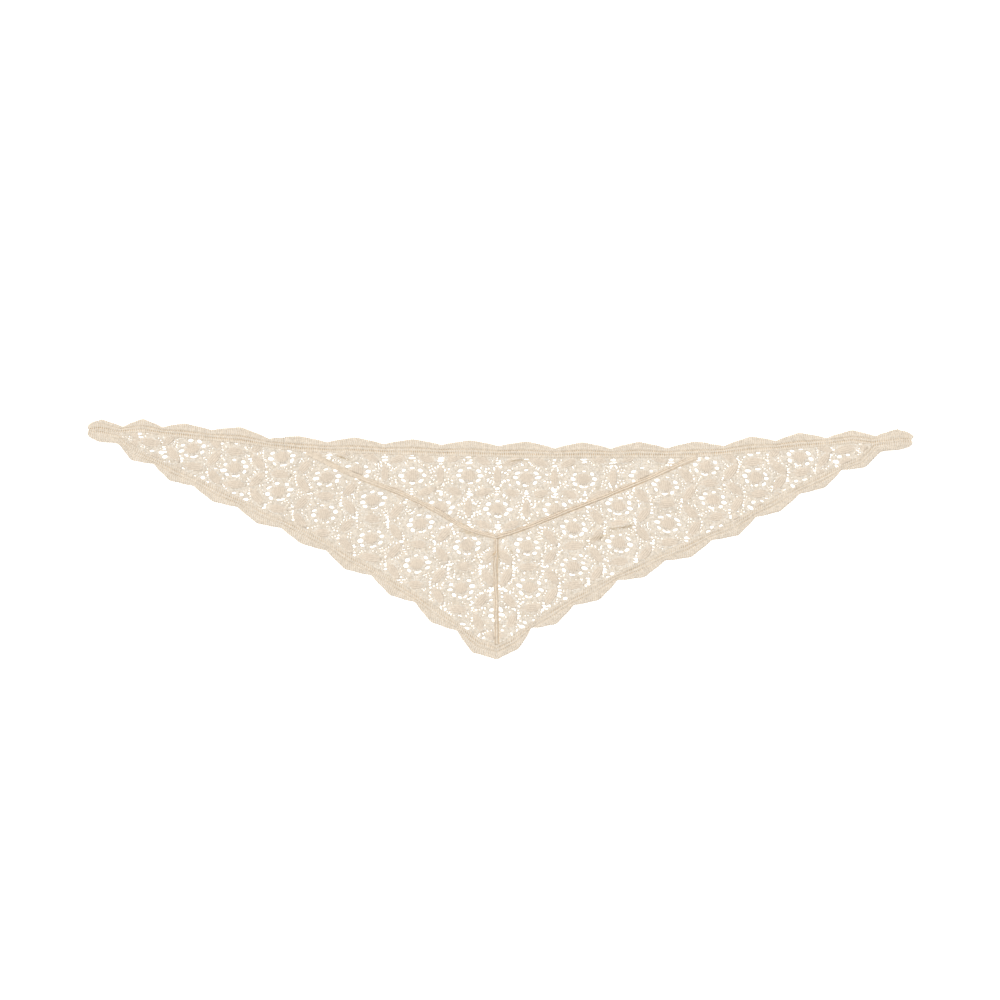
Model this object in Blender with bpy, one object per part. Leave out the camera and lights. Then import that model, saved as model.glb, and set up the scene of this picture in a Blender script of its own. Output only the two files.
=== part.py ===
"""Triangular crochet-lace scarf, spread flat, at real size.

Three lace panels meet at a Y of raised seams and are edged all round with a ribbed trim whose
outer edge is scalloped.  Metres, +Z up, +X along the long top edge.  The origin is under the
middle of the scarf, on the surface that it lies on.
"""

from typing import NamedTuple

import bpy
import numpy as np

MM = 0.001

# Driving sizes, in millimetres.
GAP = 0.3  # between neighbouring pieces
SEAM_END_GAP = 0.4  # a seam's slanting end stops this far short of the hem
LACE_THICKNESS = 1.5
SEAM_WIDTH = 5.6
CRESCENT_BLEND = 0.5  # 0 gives zigzag scallops, 1 gives a pure cosine wave
TRIM_STEPS = 8  # sections worked out for each scallop
SEAM_STEPS = 2  # sections worked out between two bends of a seam
OVERRUN = 12.0  # how far a seam's side lines run on before a neighbour trims them


class Crest(NamedTuple):
    """One scallop's highest point, and how far the edge dips before the next one."""

    x: float
    y: float
    dip: float


class HemPoint(NamedTuple):
    """A point where the trim meets the lace, opposite scallop number `scallop`."""

    scallop: float
    x: float
    y: float


class Height(NamedTuple):
    """Cloth height at a share of the way across a strip."""

    share: float
    height: float


TOP_CRESTS = (
    Crest(-550.0, 150.0, -1.5),
    Crest(-531.5, 159.5, 10.0),
    Crest(-476.0, 160.0, 8.0),
    Crest(-421.0, 154.0, 6.0),
    Crest(-346.0, 149.0, 9.0),
    Crest(-267.5, 137.0, 7.0),
    Crest(-193.5, 135.5, 7.5),
    Crest(-116.5, 133.0, 6.5),
    Crest(-40.0, 131.5, 6.5),
    Crest(35.0, 130.0, 8.5),
    Crest(109.0, 129.0, 8.5),
    Crest(184.0, 129.5, 8.5),
    Crest(259.0, 130.0, 9.0),
    Crest(333.5, 136.5, 8.0),
    Crest(397.5, 141.5, 8.5),
    Crest(467.5, 145.0, 8.0),
    Crest(528.0, 146.5, -1.5),
    Crest(550.0, 136.5, 0.0),
)
TOP_HEM = (
    HemPoint(0.0, -548.0, 145.5),
    HemPoint(1.0, -532.5, 146.0),
    HemPoint(1.5, -509.0, 141.0),
    HemPoint(2.0, -476.0, 142.0),
    HemPoint(3.0, -421.0, 134.5),
    HemPoint(4.0, -346.0, 127.5),
    HemPoint(5.0, -267.5, 116.5),
    HemPoint(7.0, -116.5, 112.0),
    HemPoint(9.0, 35.0, 108.5),
    HemPoint(12.0, 258.5, 108.5),
    HemPoint(13.0, 333.0, 115.5),
    HemPoint(14.0, 398.5, 120.5),
    HemPoint(15.0, 468.0, 128.0),
    HemPoint(15.5, 494.0, 126.5),
    HemPoint(16.0, 530.0, 131.5),
    HemPoint(17.0, 546.5, 132.0),
)

LOWER_LEFT_CRESTS = (
    Crest(-550.0, 141.5, -2.0),
    Crest(-536.5, 130.5, 10.0),
    Crest(-491.0, 105.5, 9.0),
    Crest(-440.5, 78.5, 7.0),
    Crest(-383.0, 50.5, 7.5),
    Crest(-324.0, 21.5, 7.5),
    Crest(-265.5, -5.5, 8.5),
    Crest(-207.0, -39.5, 10.0),
    Crest(-147.0, -74.0, 10.0),
    Crest(-92.5, -110.0, 11.0),
    Crest(-37.5, -150.5, 0.0),
    Crest(-5.0, -160.0, 0.0),
)
LOWER_LEFT_HEM = (
    HemPoint(0.0, -548.0, 145.5),
    HemPoint(1.0, -532.5, 146.0),
    HemPoint(1.5, -509.0, 141.0),
    HemPoint(2.0, -481.0, 118.5),
    HemPoint(3.0, -431.5, 95.5),
    HemPoint(4.0, -374.5, 68.0),
    HemPoint(5.0, -315.0, 39.5),
    HemPoint(6.0, -256.0, 13.0),
    HemPoint(7.0, -197.5, -21.0),
    HemPoint(8.0, -137.5, -55.0),
    HemPoint(9.0, -82.5, -92.0),
    HemPoint(10.0, -26.0, -134.0),
    HemPoint(11.0, -5.0, -140.5),
)

LOWER_RIGHT_CRESTS = (
    Crest(548.5, 128.5, -1.5),
    Crest(535.5, 120.0, 9.0),
    Crest(485.0, 96.0, 10.5),
    Crest(431.5, 69.0, 8.0),
    Crest(372.0, 37.5, 9.0),
    Crest(316.5, 5.5, 8.5),
    Crest(253.5, -23.5, 9.0),
    Crest(191.5, -50.0, 12.0),
    Crest(131.0, -80.5, 10.0),
    Crest(74.0, -112.5, 13.5),
    Crest(23.5, -146.0, 0.0),
    Crest(-5.0, -160.0, 0.0),
)
LOWER_RIGHT_HEM = (
    HemPoint(0.0, 546.5, 132.0),
    HemPoint(1.0, 530.0, 131.5),
    HemPoint(1.5, 494.0, 126.5),
    HemPoint(2.0, 477.0, 108.5),
    HemPoint(3.0, 423.5, 85.5),
    HemPoint(4.0, 363.0, 55.0),
    HemPoint(5.0, 308.0, 23.5),
    HemPoint(6.0, 244.5, -5.0),
    HemPoint(7.0, 183.0, -31.5),
    HemPoint(8.0, 121.5, -61.5),
    HemPoint(9.0, 64.5, -93.5),
    HemPoint(10.0, 13.5, -131.5),
    HemPoint(11.0, -5.0, -140.5),
)

# Bends of each seam, from the point where the three meet out to the trim.
JUNCTION = (-5.5, 2.5)
SEAM_LEFT_BENDS = (
    JUNCTION,
    (-46.5, 15.0),
    (-85.0, 37.5),
    (-124.5, 57.5),
    (-181.5, 80.0),
    (-217.5, 95.5),
    (-253.5, 114.0),
)
SEAM_RIGHT_BENDS = (
    JUNCTION,
    (27.5, 13.0),
    (104.5, 43.5),
    (183.0, 75.0),
    (234.0, 97.5),
    (274.5, 114.5),
)
SEAM_CENTRE_BENDS = (
    JUNCTION,
    (-6.5, -35.5),
    (-6.0, -76.0),
    (-4.5, -139.0),
)

# Cloth height across the trim, from the hem (0) to the scalloped edge (1): a cord along the hem,
# two rows of ladder stitch with a cord between them, another cord, then the dense ribbed band.
TRIM_SECTION = (
    Height(0.00, 1.6),
    Height(0.06, 2.4),
    Height(0.18, 1.6),
    Height(0.34, 2.2),
    Height(0.52, 1.7),
    Height(0.62, 2.3),
    Height(0.92, 2.0),
    Height(1.00, 1.0),
)
# The seam is a rolled ridge, rounded over the top.
SEAM_SECTION = (
    Height(0.00, 1.2),
    Height(0.20, 2.5),
    Height(0.50, 3.0),
    Height(0.80, 2.5),
    Height(1.00, 1.2),
)


class Trim:
    """A scalloped strip: where its two edges run at any scallop number."""

    def __init__(self, crests, hem):
        self.crests = np.array([(crest.x, crest.y) for crest in crests])
        self.dips = np.array([crest.dip for crest in crests])
        self.hem = np.array(hem)
        self.last = len(crests) - 1

    def scallops(self, at, distance):
        """A distance along the edge, as a number of scallops, at one place on it."""
        span = min(int(at), self.last - 1)
        return distance / np.linalg.norm(self.crests[span + 1] - self.crests[span])

    def outer(self, at):
        """Scalloped edge: each span dips away from the straight line between two crests."""
        span = np.minimum(at.astype(int), self.last - 1)
        along = (at - span)[:, None]
        start = self.crests[span]
        chord = self.crests[span + 1] - start
        points = start + chord * along
        inward = np.stack([-chord[:, 1], chord[:, 0]], 1) / np.linalg.norm(chord, axis=1)[:, None]
        inward *= np.sign(np.sum((self.hem_line(at) - points) * inward, 1))[:, None]
        zigzag = 1 - np.abs(2 * along - 1)
        cosine = (1 - np.cos(2 * np.pi * along)) / 2
        wave = (1 - CRESCENT_BLEND) * zigzag + CRESCENT_BLEND * cosine
        return points + inward * self.dips[span][:, None] * wave

    def hem_line(self, at):
        """Straight runs between the hem points."""
        scallop, x, y = self.hem.T
        return np.stack([np.interp(at, scallop, x), np.interp(at, scallop, y)], 1)

    def off_hem(self, at, distance):
        """The hem moved square to itself, towards the scalloped edge, or the lace if negative."""
        hem = self.hem_line(at)
        across = self.outer(at) - hem
        run = self.hem_line(at + 0.01) - self.hem_line(at - 0.01)
        slant = np.abs(run[:, 0] * across[:, 1] - run[:, 1] * across[:, 0])
        return hem + across * (distance * np.linalg.norm(run, axis=1) / slant)[:, None]

    def lace_edge(self, start, end, clearance=GAP / 2):
        """The line along which the lace stops, between two scallop numbers."""
        rows = self.hem[:, 0]
        inner = rows[(rows > start) & (rows < end)]
        return self.off_hem(np.concatenate([[start], inner, [end]]), -clearance)


TOP = Trim(TOP_CRESTS, TOP_HEM)
LOWER_LEFT = Trim(LOWER_LEFT_CRESTS, LOWER_LEFT_HEM)
LOWER_RIGHT = Trim(LOWER_RIGHT_CRESTS, LOWER_RIGHT_HEM)

TIP_SPLIT = 1.5  # scallop number where the trim's two arms part, at either tip of the scarf
JOIN_LEFT = 4.75  # scallop numbers where the top trim's lengths are butted together
JOIN_RIGHT = 12.26


class TrimLength(NamedTuple):
    """One length of trim, between two scallop numbers."""

    name: str
    trim: Trim
    start: float
    end: float


TRIM_LENGTHS = (
    TrimLength("border_top_left", TOP, 0.0, JOIN_LEFT),
    TrimLength("border_top_centre", TOP, JOIN_LEFT, JOIN_RIGHT),
    TrimLength("border_top_right", TOP, JOIN_RIGHT, TOP.last),
    TrimLength("border_lower_left", LOWER_LEFT, 0.0, LOWER_LEFT.last),
    TrimLength("border_lower_right", LOWER_RIGHT, 0.0, LOWER_RIGHT.last),
)


def crossing(path_a, path_b):
    """(position on a, position on b, point) where two polylines first cross."""
    for i in range(len(path_a) - 1):
        run_a = path_a[i + 1] - path_a[i]
        for j in range(len(path_b) - 1):
            run_b = path_b[j + 1] - path_b[j]
            offset = path_b[j] - path_a[i]
            turn = run_a[0] * run_b[1] - run_a[1] * run_b[0]
            if abs(turn) < 1e-9:
                continue
            s = (offset[0] * run_b[1] - offset[1] * run_b[0]) / turn
            t = (offset[0] * run_a[1] - offset[1] * run_a[0]) / turn
            if 0 <= s <= 1 and 0 <= t <= 1:
                return i + s, j + t, path_a[i] + run_a * s
    raise ValueError("the two lines do not cross")


def between(path, start, end):
    """The part of a polyline between two crossings on it, each (position, point)."""
    (low, first), (high, last) = start, end
    inner = path[int(np.floor(low)) + 1 : int(np.ceil(high))]
    return np.vstack([first, inner, last])


def ring(*paths):
    """The closed outline made by polylines that cross each other in turn."""
    corners = [crossing(path, paths[(i + 1) % len(paths)]) for i, path in enumerate(paths)]
    pieces = []
    for i, path in enumerate(paths):
        _, entry, entry_point = corners[i - 1]
        exit_, _, exit_point = corners[i]
        pieces.append(between(path, (entry, entry_point), (exit_, exit_point))[:-1])
    return np.vstack(pieces)


def side_line(bends, distance):
    """A seam's path moved to its left by a distance, and run on at both ends."""
    path = np.array(bends, float)
    runs = np.diff(path, axis=0)
    runs /= np.linalg.norm(runs, axis=1)[:, None]
    before = np.vstack([runs[:1], runs])
    after = np.vstack([runs, runs[-1:]])
    normal = np.stack([-(before + after)[:, 1], (before + after)[:, 0]], 1)
    normal /= np.linalg.norm(normal, axis=1)[:, None]
    mitre = 1 / np.sum(normal * np.stack([-after[:, 1], after[:, 0]], 1), 1)
    moved = path + normal * (distance * mitre)[:, None]
    moved[0] -= runs[0] * OVERRUN
    moved[-1] += runs[-1] * OVERRUN
    return moved


def subdivided(path, parts):
    """The polyline with every run split into equal parts, so that it keeps its bends."""
    at = np.linspace(0, len(path) - 1, (len(path) - 1) * parts + 1)
    bends = np.arange(len(path))
    return np.stack([np.interp(at, bends, path[:, 0]), np.interp(at, bends, path[:, 1])], 1)


def material(name, colour, roughness):
    made = bpy.data.materials.new(name)
    made.use_nodes = True
    shader = made.node_tree.nodes["Principled BSDF"]
    shader.inputs["Base Color"].default_value = (*colour, 1)
    shader.inputs["Roughness"].default_value = roughness
    shader.inputs["Metallic"].default_value = 0
    return made


def add_ribbon(name, inner, outer, section, finish, scarf):
    """A strip lofted between two edges: flat beneath, with the section's heights on top."""
    shares = np.array([row.share for row in section])
    heights = np.array([row.height for row in section])
    across = inner[:, None] + (outer - inner)[:, None] * shares[None, :, None]
    top = np.concatenate(
        [across, np.broadcast_to(heights[None, :, None], across.shape[:2] + (1,))], 2
    )
    foot = np.stack([outer, inner], 1)
    foot = np.concatenate([foot, np.zeros(foot.shape[:2] + (1,))], 2)
    rings = np.concatenate([top, foot], 1)
    stations, points = rings.shape[:2]
    faces = [
        (
            k * points + i,
            (k + 1) * points + i,
            (k + 1) * points + (i + 1) % points,
            k * points + (i + 1) % points,
        )
        for k in range(stations - 1)
        for i in range(points)
    ]
    faces.append(tuple(range(points)))
    faces.append(tuple(reversed(range((stations - 1) * points, stations * points))))
    mesh = bpy.data.meshes.new(name)
    mesh.from_pydata((rings.reshape(-1, 3) * MM).tolist(), [], faces)
    if np.cross(outer[0] - inner[0], inner[1] - inner[0]) > 0:
        mesh.flip_normals()
    mesh.materials.append(finish)
    scarf.objects.link(bpy.data.objects.new(name, mesh))


def add_slab(name, outline, thickness, finish, scarf):
    """A flat wall: a filled outline with half its thickness either way, resting on the ground."""
    curve = bpy.data.curves.new(name, "CURVE")
    curve.dimensions = "2D"
    curve.fill_mode = "BOTH"
    curve.extrude = thickness / 2 * MM
    spline = curve.splines.new("POLY")
    spline.points.add(len(outline) - 1)
    for point, (x, y) in zip(spline.points, outline * MM):
        point.co = (x, y, 0, 1)
    spline.use_cyclic_u = True
    curve.materials.append(finish)
    slab = bpy.data.objects.new(name, curve)
    slab.location.z = thickness / 2 * MM
    scarf.objects.link(slab)


def add_trims(scarf):
    """The lengths of scalloped trim, each lofted from the hem to the outer edge."""
    for name, trim, start, end in TRIM_LENGTHS:
        steps = np.arange(trim.last * TRIM_STEPS) / TRIM_STEPS
        inner = steps[(steps > start) & (steps < end)]
        first = start + trim.scallops(start, GAP / 2)
        last = end - trim.scallops(end, GAP / 2)
        at = np.concatenate([[first], inner, [last]])
        finish = material(name, (0.80, 0.71, 0.58), 0.9)
        add_ribbon(name, trim.off_hem(at, GAP / 2), trim.outer(at), TRIM_SECTION, finish, scarf)


def add_seams(scarf):
    """The three ridges of the Y, butted at the junction and at the trim."""
    half = SEAM_WIDTH / 2
    x, y = JUNCTION
    reach = 2 * OVERRUN
    west = np.array([(x - GAP / 2, y - reach), (x - GAP / 2, y + reach)])
    east = np.array([(x + GAP / 2, y - reach), (x + GAP / 2, y + reach)])
    below = y - half - 2 * GAP
    south = np.array([(x - reach, below), (x + reach, below)])
    top_edge = TOP.lace_edge(TIP_SPLIT, TOP.last - TIP_SPLIT, SEAM_END_GAP)
    left_edge = LOWER_LEFT.lace_edge(TIP_SPLIT, LOWER_LEFT.last, SEAM_END_GAP)
    right_edge = LOWER_RIGHT.lace_edge(TIP_SPLIT, LOWER_RIGHT.last, SEAM_END_GAP)
    for name, bends, start, ends in (
        ("seam_left", SEAM_LEFT_BENDS, west, (top_edge, top_edge)),
        ("seam_right", SEAM_RIGHT_BENDS, east, (top_edge, top_edge)),
        ("seam_centre", SEAM_CENTRE_BENDS, south, (right_edge, left_edge)),
    ):
        sides = []
        for side, end in zip((half, -half), ends):
            line = side_line(bends, side)
            entry, _, first = crossing(line, start)
            exit_, _, last = crossing(line, end)
            sides.append(subdivided(between(line, (entry, first), (exit_, last)), SEAM_STEPS))
        finish = material(name, (0.76, 0.66, 0.52), 0.9)
        add_ribbon(name, sides[0], sides[1], SEAM_SECTION, finish, scarf)


def add_panels(scarf):
    """The three lace panels, bounded by the trim's hem and by the seams."""
    clear = SEAM_WIDTH / 2 + GAP
    left_above = side_line(SEAM_LEFT_BENDS, -clear)
    left_below = side_line(SEAM_LEFT_BENDS, clear)
    right_above = side_line(SEAM_RIGHT_BENDS, clear)
    right_below = side_line(SEAM_RIGHT_BENDS, -clear)
    centre_west = side_line(SEAM_CENTRE_BENDS, -clear)
    centre_east = side_line(SEAM_CENTRE_BENDS, clear)
    top = TOP.lace_edge(TIP_SPLIT, TOP.last - TIP_SPLIT)
    lower_left = LOWER_LEFT.lace_edge(TIP_SPLIT, LOWER_LEFT.last)
    lower_right = LOWER_RIGHT.lace_edge(TIP_SPLIT, LOWER_RIGHT.last)
    for name, outline in (
        ("panel_centre", ring(right_above, top[::-1], left_above[::-1])),
        ("panel_left", ring(left_below, top[::-1], lower_left, centre_west[::-1])),
        ("panel_right", ring(centre_east, lower_right[::-1], top[::-1], right_below[::-1])),
    ):
        finish = material(name, (0.82, 0.74, 0.62), 0.9)
        add_slab(name, outline, LACE_THICKNESS, finish, scarf)


def main():
    for obj in list(bpy.data.objects):
        bpy.data.objects.remove(obj)
    scarf = bpy.data.collections.new("crochet_scarf")
    bpy.context.scene.collection.children.link(scarf)
    add_panels(scarf)
    add_seams(scarf)
    add_trims(scarf)


main()
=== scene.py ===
"""Looks of a triangular crochet-lace scarf that lies flat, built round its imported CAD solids.

Every size of the cloth is in millimetres, in the CAD part's own frame, and turns to metres where
a mesh is made; the studio is in metres.  The lace is charted as a lattice of flowers: a solid
centre in a ring of eyelets at each lattice point, a leaf across each link with small openings
round it, and in each triangle of the lattice a stack of slits and two clusters of small openings.
Outlines, hems and seam lines are read from the CAD nodes.
"""

import logging
import math
from collections.abc import Callable, Sequence
from dataclasses import dataclass, field
from enum import Enum
from typing import NamedTuple

import bpy
import numpy as np
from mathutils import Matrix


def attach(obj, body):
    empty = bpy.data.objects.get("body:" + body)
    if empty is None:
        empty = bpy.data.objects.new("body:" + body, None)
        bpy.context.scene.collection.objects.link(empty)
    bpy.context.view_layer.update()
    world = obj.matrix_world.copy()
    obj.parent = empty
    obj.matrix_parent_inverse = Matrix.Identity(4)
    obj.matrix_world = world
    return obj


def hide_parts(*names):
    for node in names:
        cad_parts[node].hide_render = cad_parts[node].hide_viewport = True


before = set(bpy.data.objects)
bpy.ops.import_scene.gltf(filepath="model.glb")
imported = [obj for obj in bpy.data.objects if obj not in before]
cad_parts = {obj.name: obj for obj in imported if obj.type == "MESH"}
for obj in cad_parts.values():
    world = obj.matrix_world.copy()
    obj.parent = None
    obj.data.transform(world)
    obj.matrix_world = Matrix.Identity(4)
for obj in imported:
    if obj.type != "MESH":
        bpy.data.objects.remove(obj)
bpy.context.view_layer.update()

Array = np.ndarray
LOG = logging.getLogger("crochet_scarf")
BODY = "root"
MM = 0.001

STITCH = 2.9  # one crochet stitch along a row
TWIST = 1.7  # the yarn's twist; really about 0.7, drawn coarse enough to show
CLEARANCE = 0.05  # the cloth's underside above the table
LEVEL = 0.01  # corners of a CAD node below this are on its underside
HEM_CREST = 2.4  # height of the CAD borders' highest crest, which runs near the hem
CREST_SHARE = 0.06  # how far from the hem it runs, as a share of the border's width
EDGE_TOP = 1.0  # height of their scalloped edge
SEAM_CREST = 3.0  # height of the CAD seams' crest line
FAR = 9.0  # stands for a place well outside a shape, in mm or in shares of its size
# Painted shading of the undersides, which hardly show.
UNDERNEATH = 0.7  # relief of undersides, which hardly show


class Slot(Enum):
    """The material slots."""

    LACE = "lace"
    SEAM = "seam"
    BORDER = "border"


# ---------------------------------------------------------------------------- meshes


class Patch(NamedTuple):
    """Faces that have the same number of corners.

    `corners` holds indices of points, (faces, corners).  `weave` is each corner's place in the
    thread pattern, (faces, corners, 2) mm: along the yarn and round it.  `cloth` counts through
    the piece's finishes.
    """

    corners: Array
    weave: Array
    cloth: int = 0


@dataclass
class Surface:
    """Part of a piece's mesh.

    `points` is (n, 3) mm.  The painted shading is (n,), from 0 in a crevice, painted in the
    yarn's shadow colour, to 1 on a crest, painted in full light.
    """

    points: Array
    painted_shading: Array
    patches: list[Patch]

    def triangles(self) -> int:
        """How many triangles the faces come to."""
        return sum(len(p.corners) * (p.corners.shape[1] - 2) for p in self.patches)


def joined(parts: Sequence[Surface]) -> Surface:
    """Several surfaces as one, with their points numbered on.

    Args:
        parts: The surfaces, in order.
    Returns:
        One surface with all their points and faces.
    """
    firsts = np.cumsum([0] + [len(part.points) for part in parts])
    patches = [
        Patch(patch.corners + first, patch.weave, patch.cloth)
        for part, first in zip(parts, firsts)
        for patch in part.patches
    ]
    points = np.concatenate([part.points for part in parts])
    return Surface(points, np.concatenate([part.painted_shading for part in parts]), patches)


def make_piece(
    name: str, surface: Surface, finishes: Sequence[bpy.types.Material]
) -> bpy.types.Object:
    """Puts a surface into a smooth-shaded mesh object that sits at the origin.

    Args:
        name: The object's name.
        surface: Its points and faces, in mm, with the cloth's lift still to be added.
        finishes: The materials that the patches count through.
    Returns:
        The object, riding on the part's one body.
    """
    points = surface.points.copy()
    points[:, 2] += lift(points[:, :2]) + CLEARANCE
    corners = np.concatenate([patch.corners.ravel() for patch in surface.patches])
    sides = np.concatenate(
        [np.full(len(patch.corners), patch.corners.shape[1]) for patch in surface.patches]
    )
    cloth = np.concatenate(
        [np.full(len(patch.corners), patch.cloth) for patch in surface.patches]
    )
    weave = np.concatenate([patch.weave.reshape(-1, 2) for patch in surface.patches])
    mesh = bpy.data.meshes.new(name)
    mesh.vertices.add(len(points))
    mesh.vertices.foreach_set("co", (points * MM).astype(np.float32).ravel())
    mesh.loops.add(len(corners))
    mesh.loops.foreach_set("vertex_index", corners.astype(np.int32))
    mesh.polygons.add(len(sides))
    mesh.polygons.foreach_set("loop_start", (np.cumsum(sides) - sides).astype(np.int32))
    mesh.polygons.foreach_set("material_index", cloth.astype(np.int32))
    mesh.uv_layers.new(name="Weave").data.foreach_set("uv", weave.astype(np.float32).ravel())
    # The painted shading: painted shade in crevices, at rims and on undersides, less the painted
    # fold shadows.
    painted_shading = mesh.attributes.new("painted_shading", "FLOAT", "POINT")
    shown = np.clip(surface.painted_shading - fold_shadow_at(points[:, :2]), 0, 1)
    painted_shading.data.foreach_set("value", shown.astype(np.float32))
    for finish in finishes:
        mesh.materials.append(finish)
    mesh.update(calc_edges=True)
    mesh.validate()
    mesh.shade_smooth()
    piece = bpy.data.objects.new(name, mesh)
    bpy.context.scene.collection.objects.link(piece)
    LOG.info("%s: %d triangles", name, surface.triangles())
    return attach(piece, BODY)


def distances(points: Array) -> Array:
    """Distance along a path at each of its points: (..., n) mm for (..., n, k) points."""
    travelled = np.cumsum(np.linalg.norm(np.diff(points, axis=-2), axis=-1), axis=-1)
    return np.concatenate([np.zeros_like(travelled[..., :1]), travelled], axis=-1)


def sideways(paths: Array) -> Array:
    """The level sideways direction at each point of some paths.

    Formula: the tangent is the difference of the two neighbouring points, and sideways is the
    tangent's level part turned a quarter turn to the left.

    Args:
        paths: (n, m, 3) points.
    Returns:
        (n, m, 3) unit vectors.
    """
    ahead = np.gradient(paths, axis=1)
    side = np.stack([-ahead[..., 1], ahead[..., 0], np.zeros(ahead.shape[:2])], axis=-1)
    return side / np.maximum(np.linalg.norm(side, axis=-1, keepdims=True), 1e-9)


def strands(
    paths: Array, half_width: Array, half_height: Array, sides: int = 6, cloth: int = 1
) -> Surface:
    """Yarn-like tubes, one along each path.

    Formula: path + sideways · half-width · cos a + up · half-height · sin a, for a round the
    circle, with a flat cap at each end.

    Args:
        paths: (n, m, 3) points in mm.
        half_width: (n, m) half the strand's width.
        half_height: (n, m) half its height.
        sides: Points round the strand.
        cloth: Which finish the faces take.
    Returns:
        The tubes' surface.
    """
    count, steps = paths.shape[:2]
    angle = 2 * np.pi * (np.arange(sides) + 0.5) / sides
    ring = sideways(paths)[:, :, None] * (half_width[..., None] * np.cos(angle))[..., None]
    ring[..., 2] += half_height[..., None] * np.sin(angle)
    points = (paths[:, :, None] + ring).reshape(-1, 3)
    # Painted shade: each strand's underside is painted darker and its top lighter, as the light
    # falls from above.
    painted_shading = np.broadcast_to(0.5 + 0.5 * np.sin(angle), (count, steps, sides)).ravel()
    index = np.arange(count * steps * sides).reshape(count, steps, sides)
    turn = np.arange(sides + 1) * 2 * TWIST / sides
    reach = np.broadcast_to(distances(paths)[:, :, None], (count, steps, sides + 1))
    index = np.concatenate([index, index[..., :1]], axis=2)
    weave = np.stack([reach, np.broadcast_to(turn, reach.shape)], axis=-1)
    order = ((slice(0, -1), slice(0, -1)), (slice(0, -1), slice(1, None)),
             (slice(1, None), slice(1, None)), (slice(1, None), slice(0, -1)))
    quads = np.stack([index[:, a, b] for a, b in order], axis=-1).reshape(-1, 4)
    places = np.stack([weave[:, a, b] for a, b in order], axis=-2).reshape(-1, 4, 2)
    caps = np.concatenate([index[:, 0, :sides][:, ::-1], index[:, -1, :sides]])
    ends = Patch(caps, np.zeros(caps.shape + (2,)), cloth)
    return Surface(points, painted_shading, [Patch(quads, places, cloth), ends])


# ---------------------------------------------------------------------------- the CAD nodes


def node_triangles(node: str) -> Array:
    """A CAD node's triangles.

    Args:
        node: The node's name.
    Returns:
        (triangles, 3, 3) corner points in mm.
    """
    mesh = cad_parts[node].data
    mesh.calc_loop_triangles()
    points = np.empty(len(mesh.vertices) * 3, np.float32)
    mesh.vertices.foreach_get("co", points)
    corners = np.empty(len(mesh.loop_triangles) * 3, np.int32)
    mesh.loop_triangles.foreach_get("vertices", corners)
    return points.reshape(-1, 3)[corners.reshape(-1, 3)].astype(float) / MM


def underside(node: str) -> Array:
    """The triangles of a node's underside, (triangles, 3, 2) mm."""
    triangles = node_triangles(node)
    return triangles[(triangles[:, :, 2] < LEVEL).all(axis=1)][:, :, :2]


def level_points(points: Array, height: float) -> Array:
    """The distinct corners of a node at one height, in order along its longer side.

    Args:
        points: (n, 3) corners in mm.
        height: The height in mm.
    Returns:
        (m, 2) mm.
    """
    near, distinct = 0.03, 0.1
    level = points[np.abs(points[:, 2] - height) < near][:, :2]
    longest = int(np.argmax(np.ptp(level, axis=0)))
    level = level[np.argsort(level[:, longest])]
    apart = np.linalg.norm(np.diff(level, axis=0), axis=1) > distinct
    return level[np.concatenate([[True], apart])]


def outline(node: str) -> Array:
    """The outline of a node's underside: the edges that only one of its triangles has.

    Args:
        node: The node's name.
    Returns:
        (edges, 2, 2) ends of each edge in mm, in no order.
    """
    level = underside(node)
    edges = np.concatenate([level[:, [0, 1]], level[:, [1, 2]], level[:, [2, 0]]])
    ends = np.round(edges, 2)
    same_x = ends[:, 0, 0] == ends[:, 1, 0]
    turn = np.where(same_x, ends[:, 0, 1] > ends[:, 1, 1], ends[:, 0, 0] > ends[:, 1, 0])
    ends[turn] = ends[turn][:, ::-1]
    kept, uses = np.unique(ends.reshape(-1, 4), axis=0, return_counts=True)
    return kept[uses == 1].reshape(-1, 2, 2)


def inside_by(points: Array, edges: Array) -> Array:
    """How far points are inside an outline, negative outside.

    Formula: the distance to the nearest edge, signed by whether a line to the right crosses the
    outline an odd number of times.

    Args:
        points: (n, 2) mm.
        edges: (edges, 2, 2) mm, from `outline`.
    Returns:
        (n,) mm.
    """
    nearest = np.full(len(points), np.inf)
    inside = np.zeros(len(points), bool)
    x, y = points.T
    for (x1, y1), (x2, y2) in edges:
        run_x, run_y = x2 - x1, y2 - y1
        share = ((x - x1) * run_x + (y - y1) * run_y) / (run_x**2 + run_y**2)
        share = np.clip(share, 0, 1)
        gap = np.hypot(x - x1 - share * run_x, y - y1 - share * run_y)
        nearest = np.minimum(nearest, gap)
        if y1 != y2:
            crossed = x1 + (y - y1) / run_y * run_x
            inside ^= ((y1 > y) != (y2 > y)) & (x < crossed)
    return np.where(inside, nearest, -nearest)


# ---------------------------------------------------------------------------- how it lies


class Crease(NamedTuple):
    """A soft ridge in the spread cloth, tapering to nothing at both ends."""

    x1: float
    y1: float
    x2: float
    y2: float
    half_width: float
    height: float
    bow: float = 0.08  # how far its middle bows to the right of its run, as a share of its length
    # Strength of the shadow painted along its right flank, in the fold; 1 paints the flank's middle
    # in nearly full shade.
    fold_shadow: float = 0.0  # how tightly the cloth closes along its right flank; 1 is shut


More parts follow.
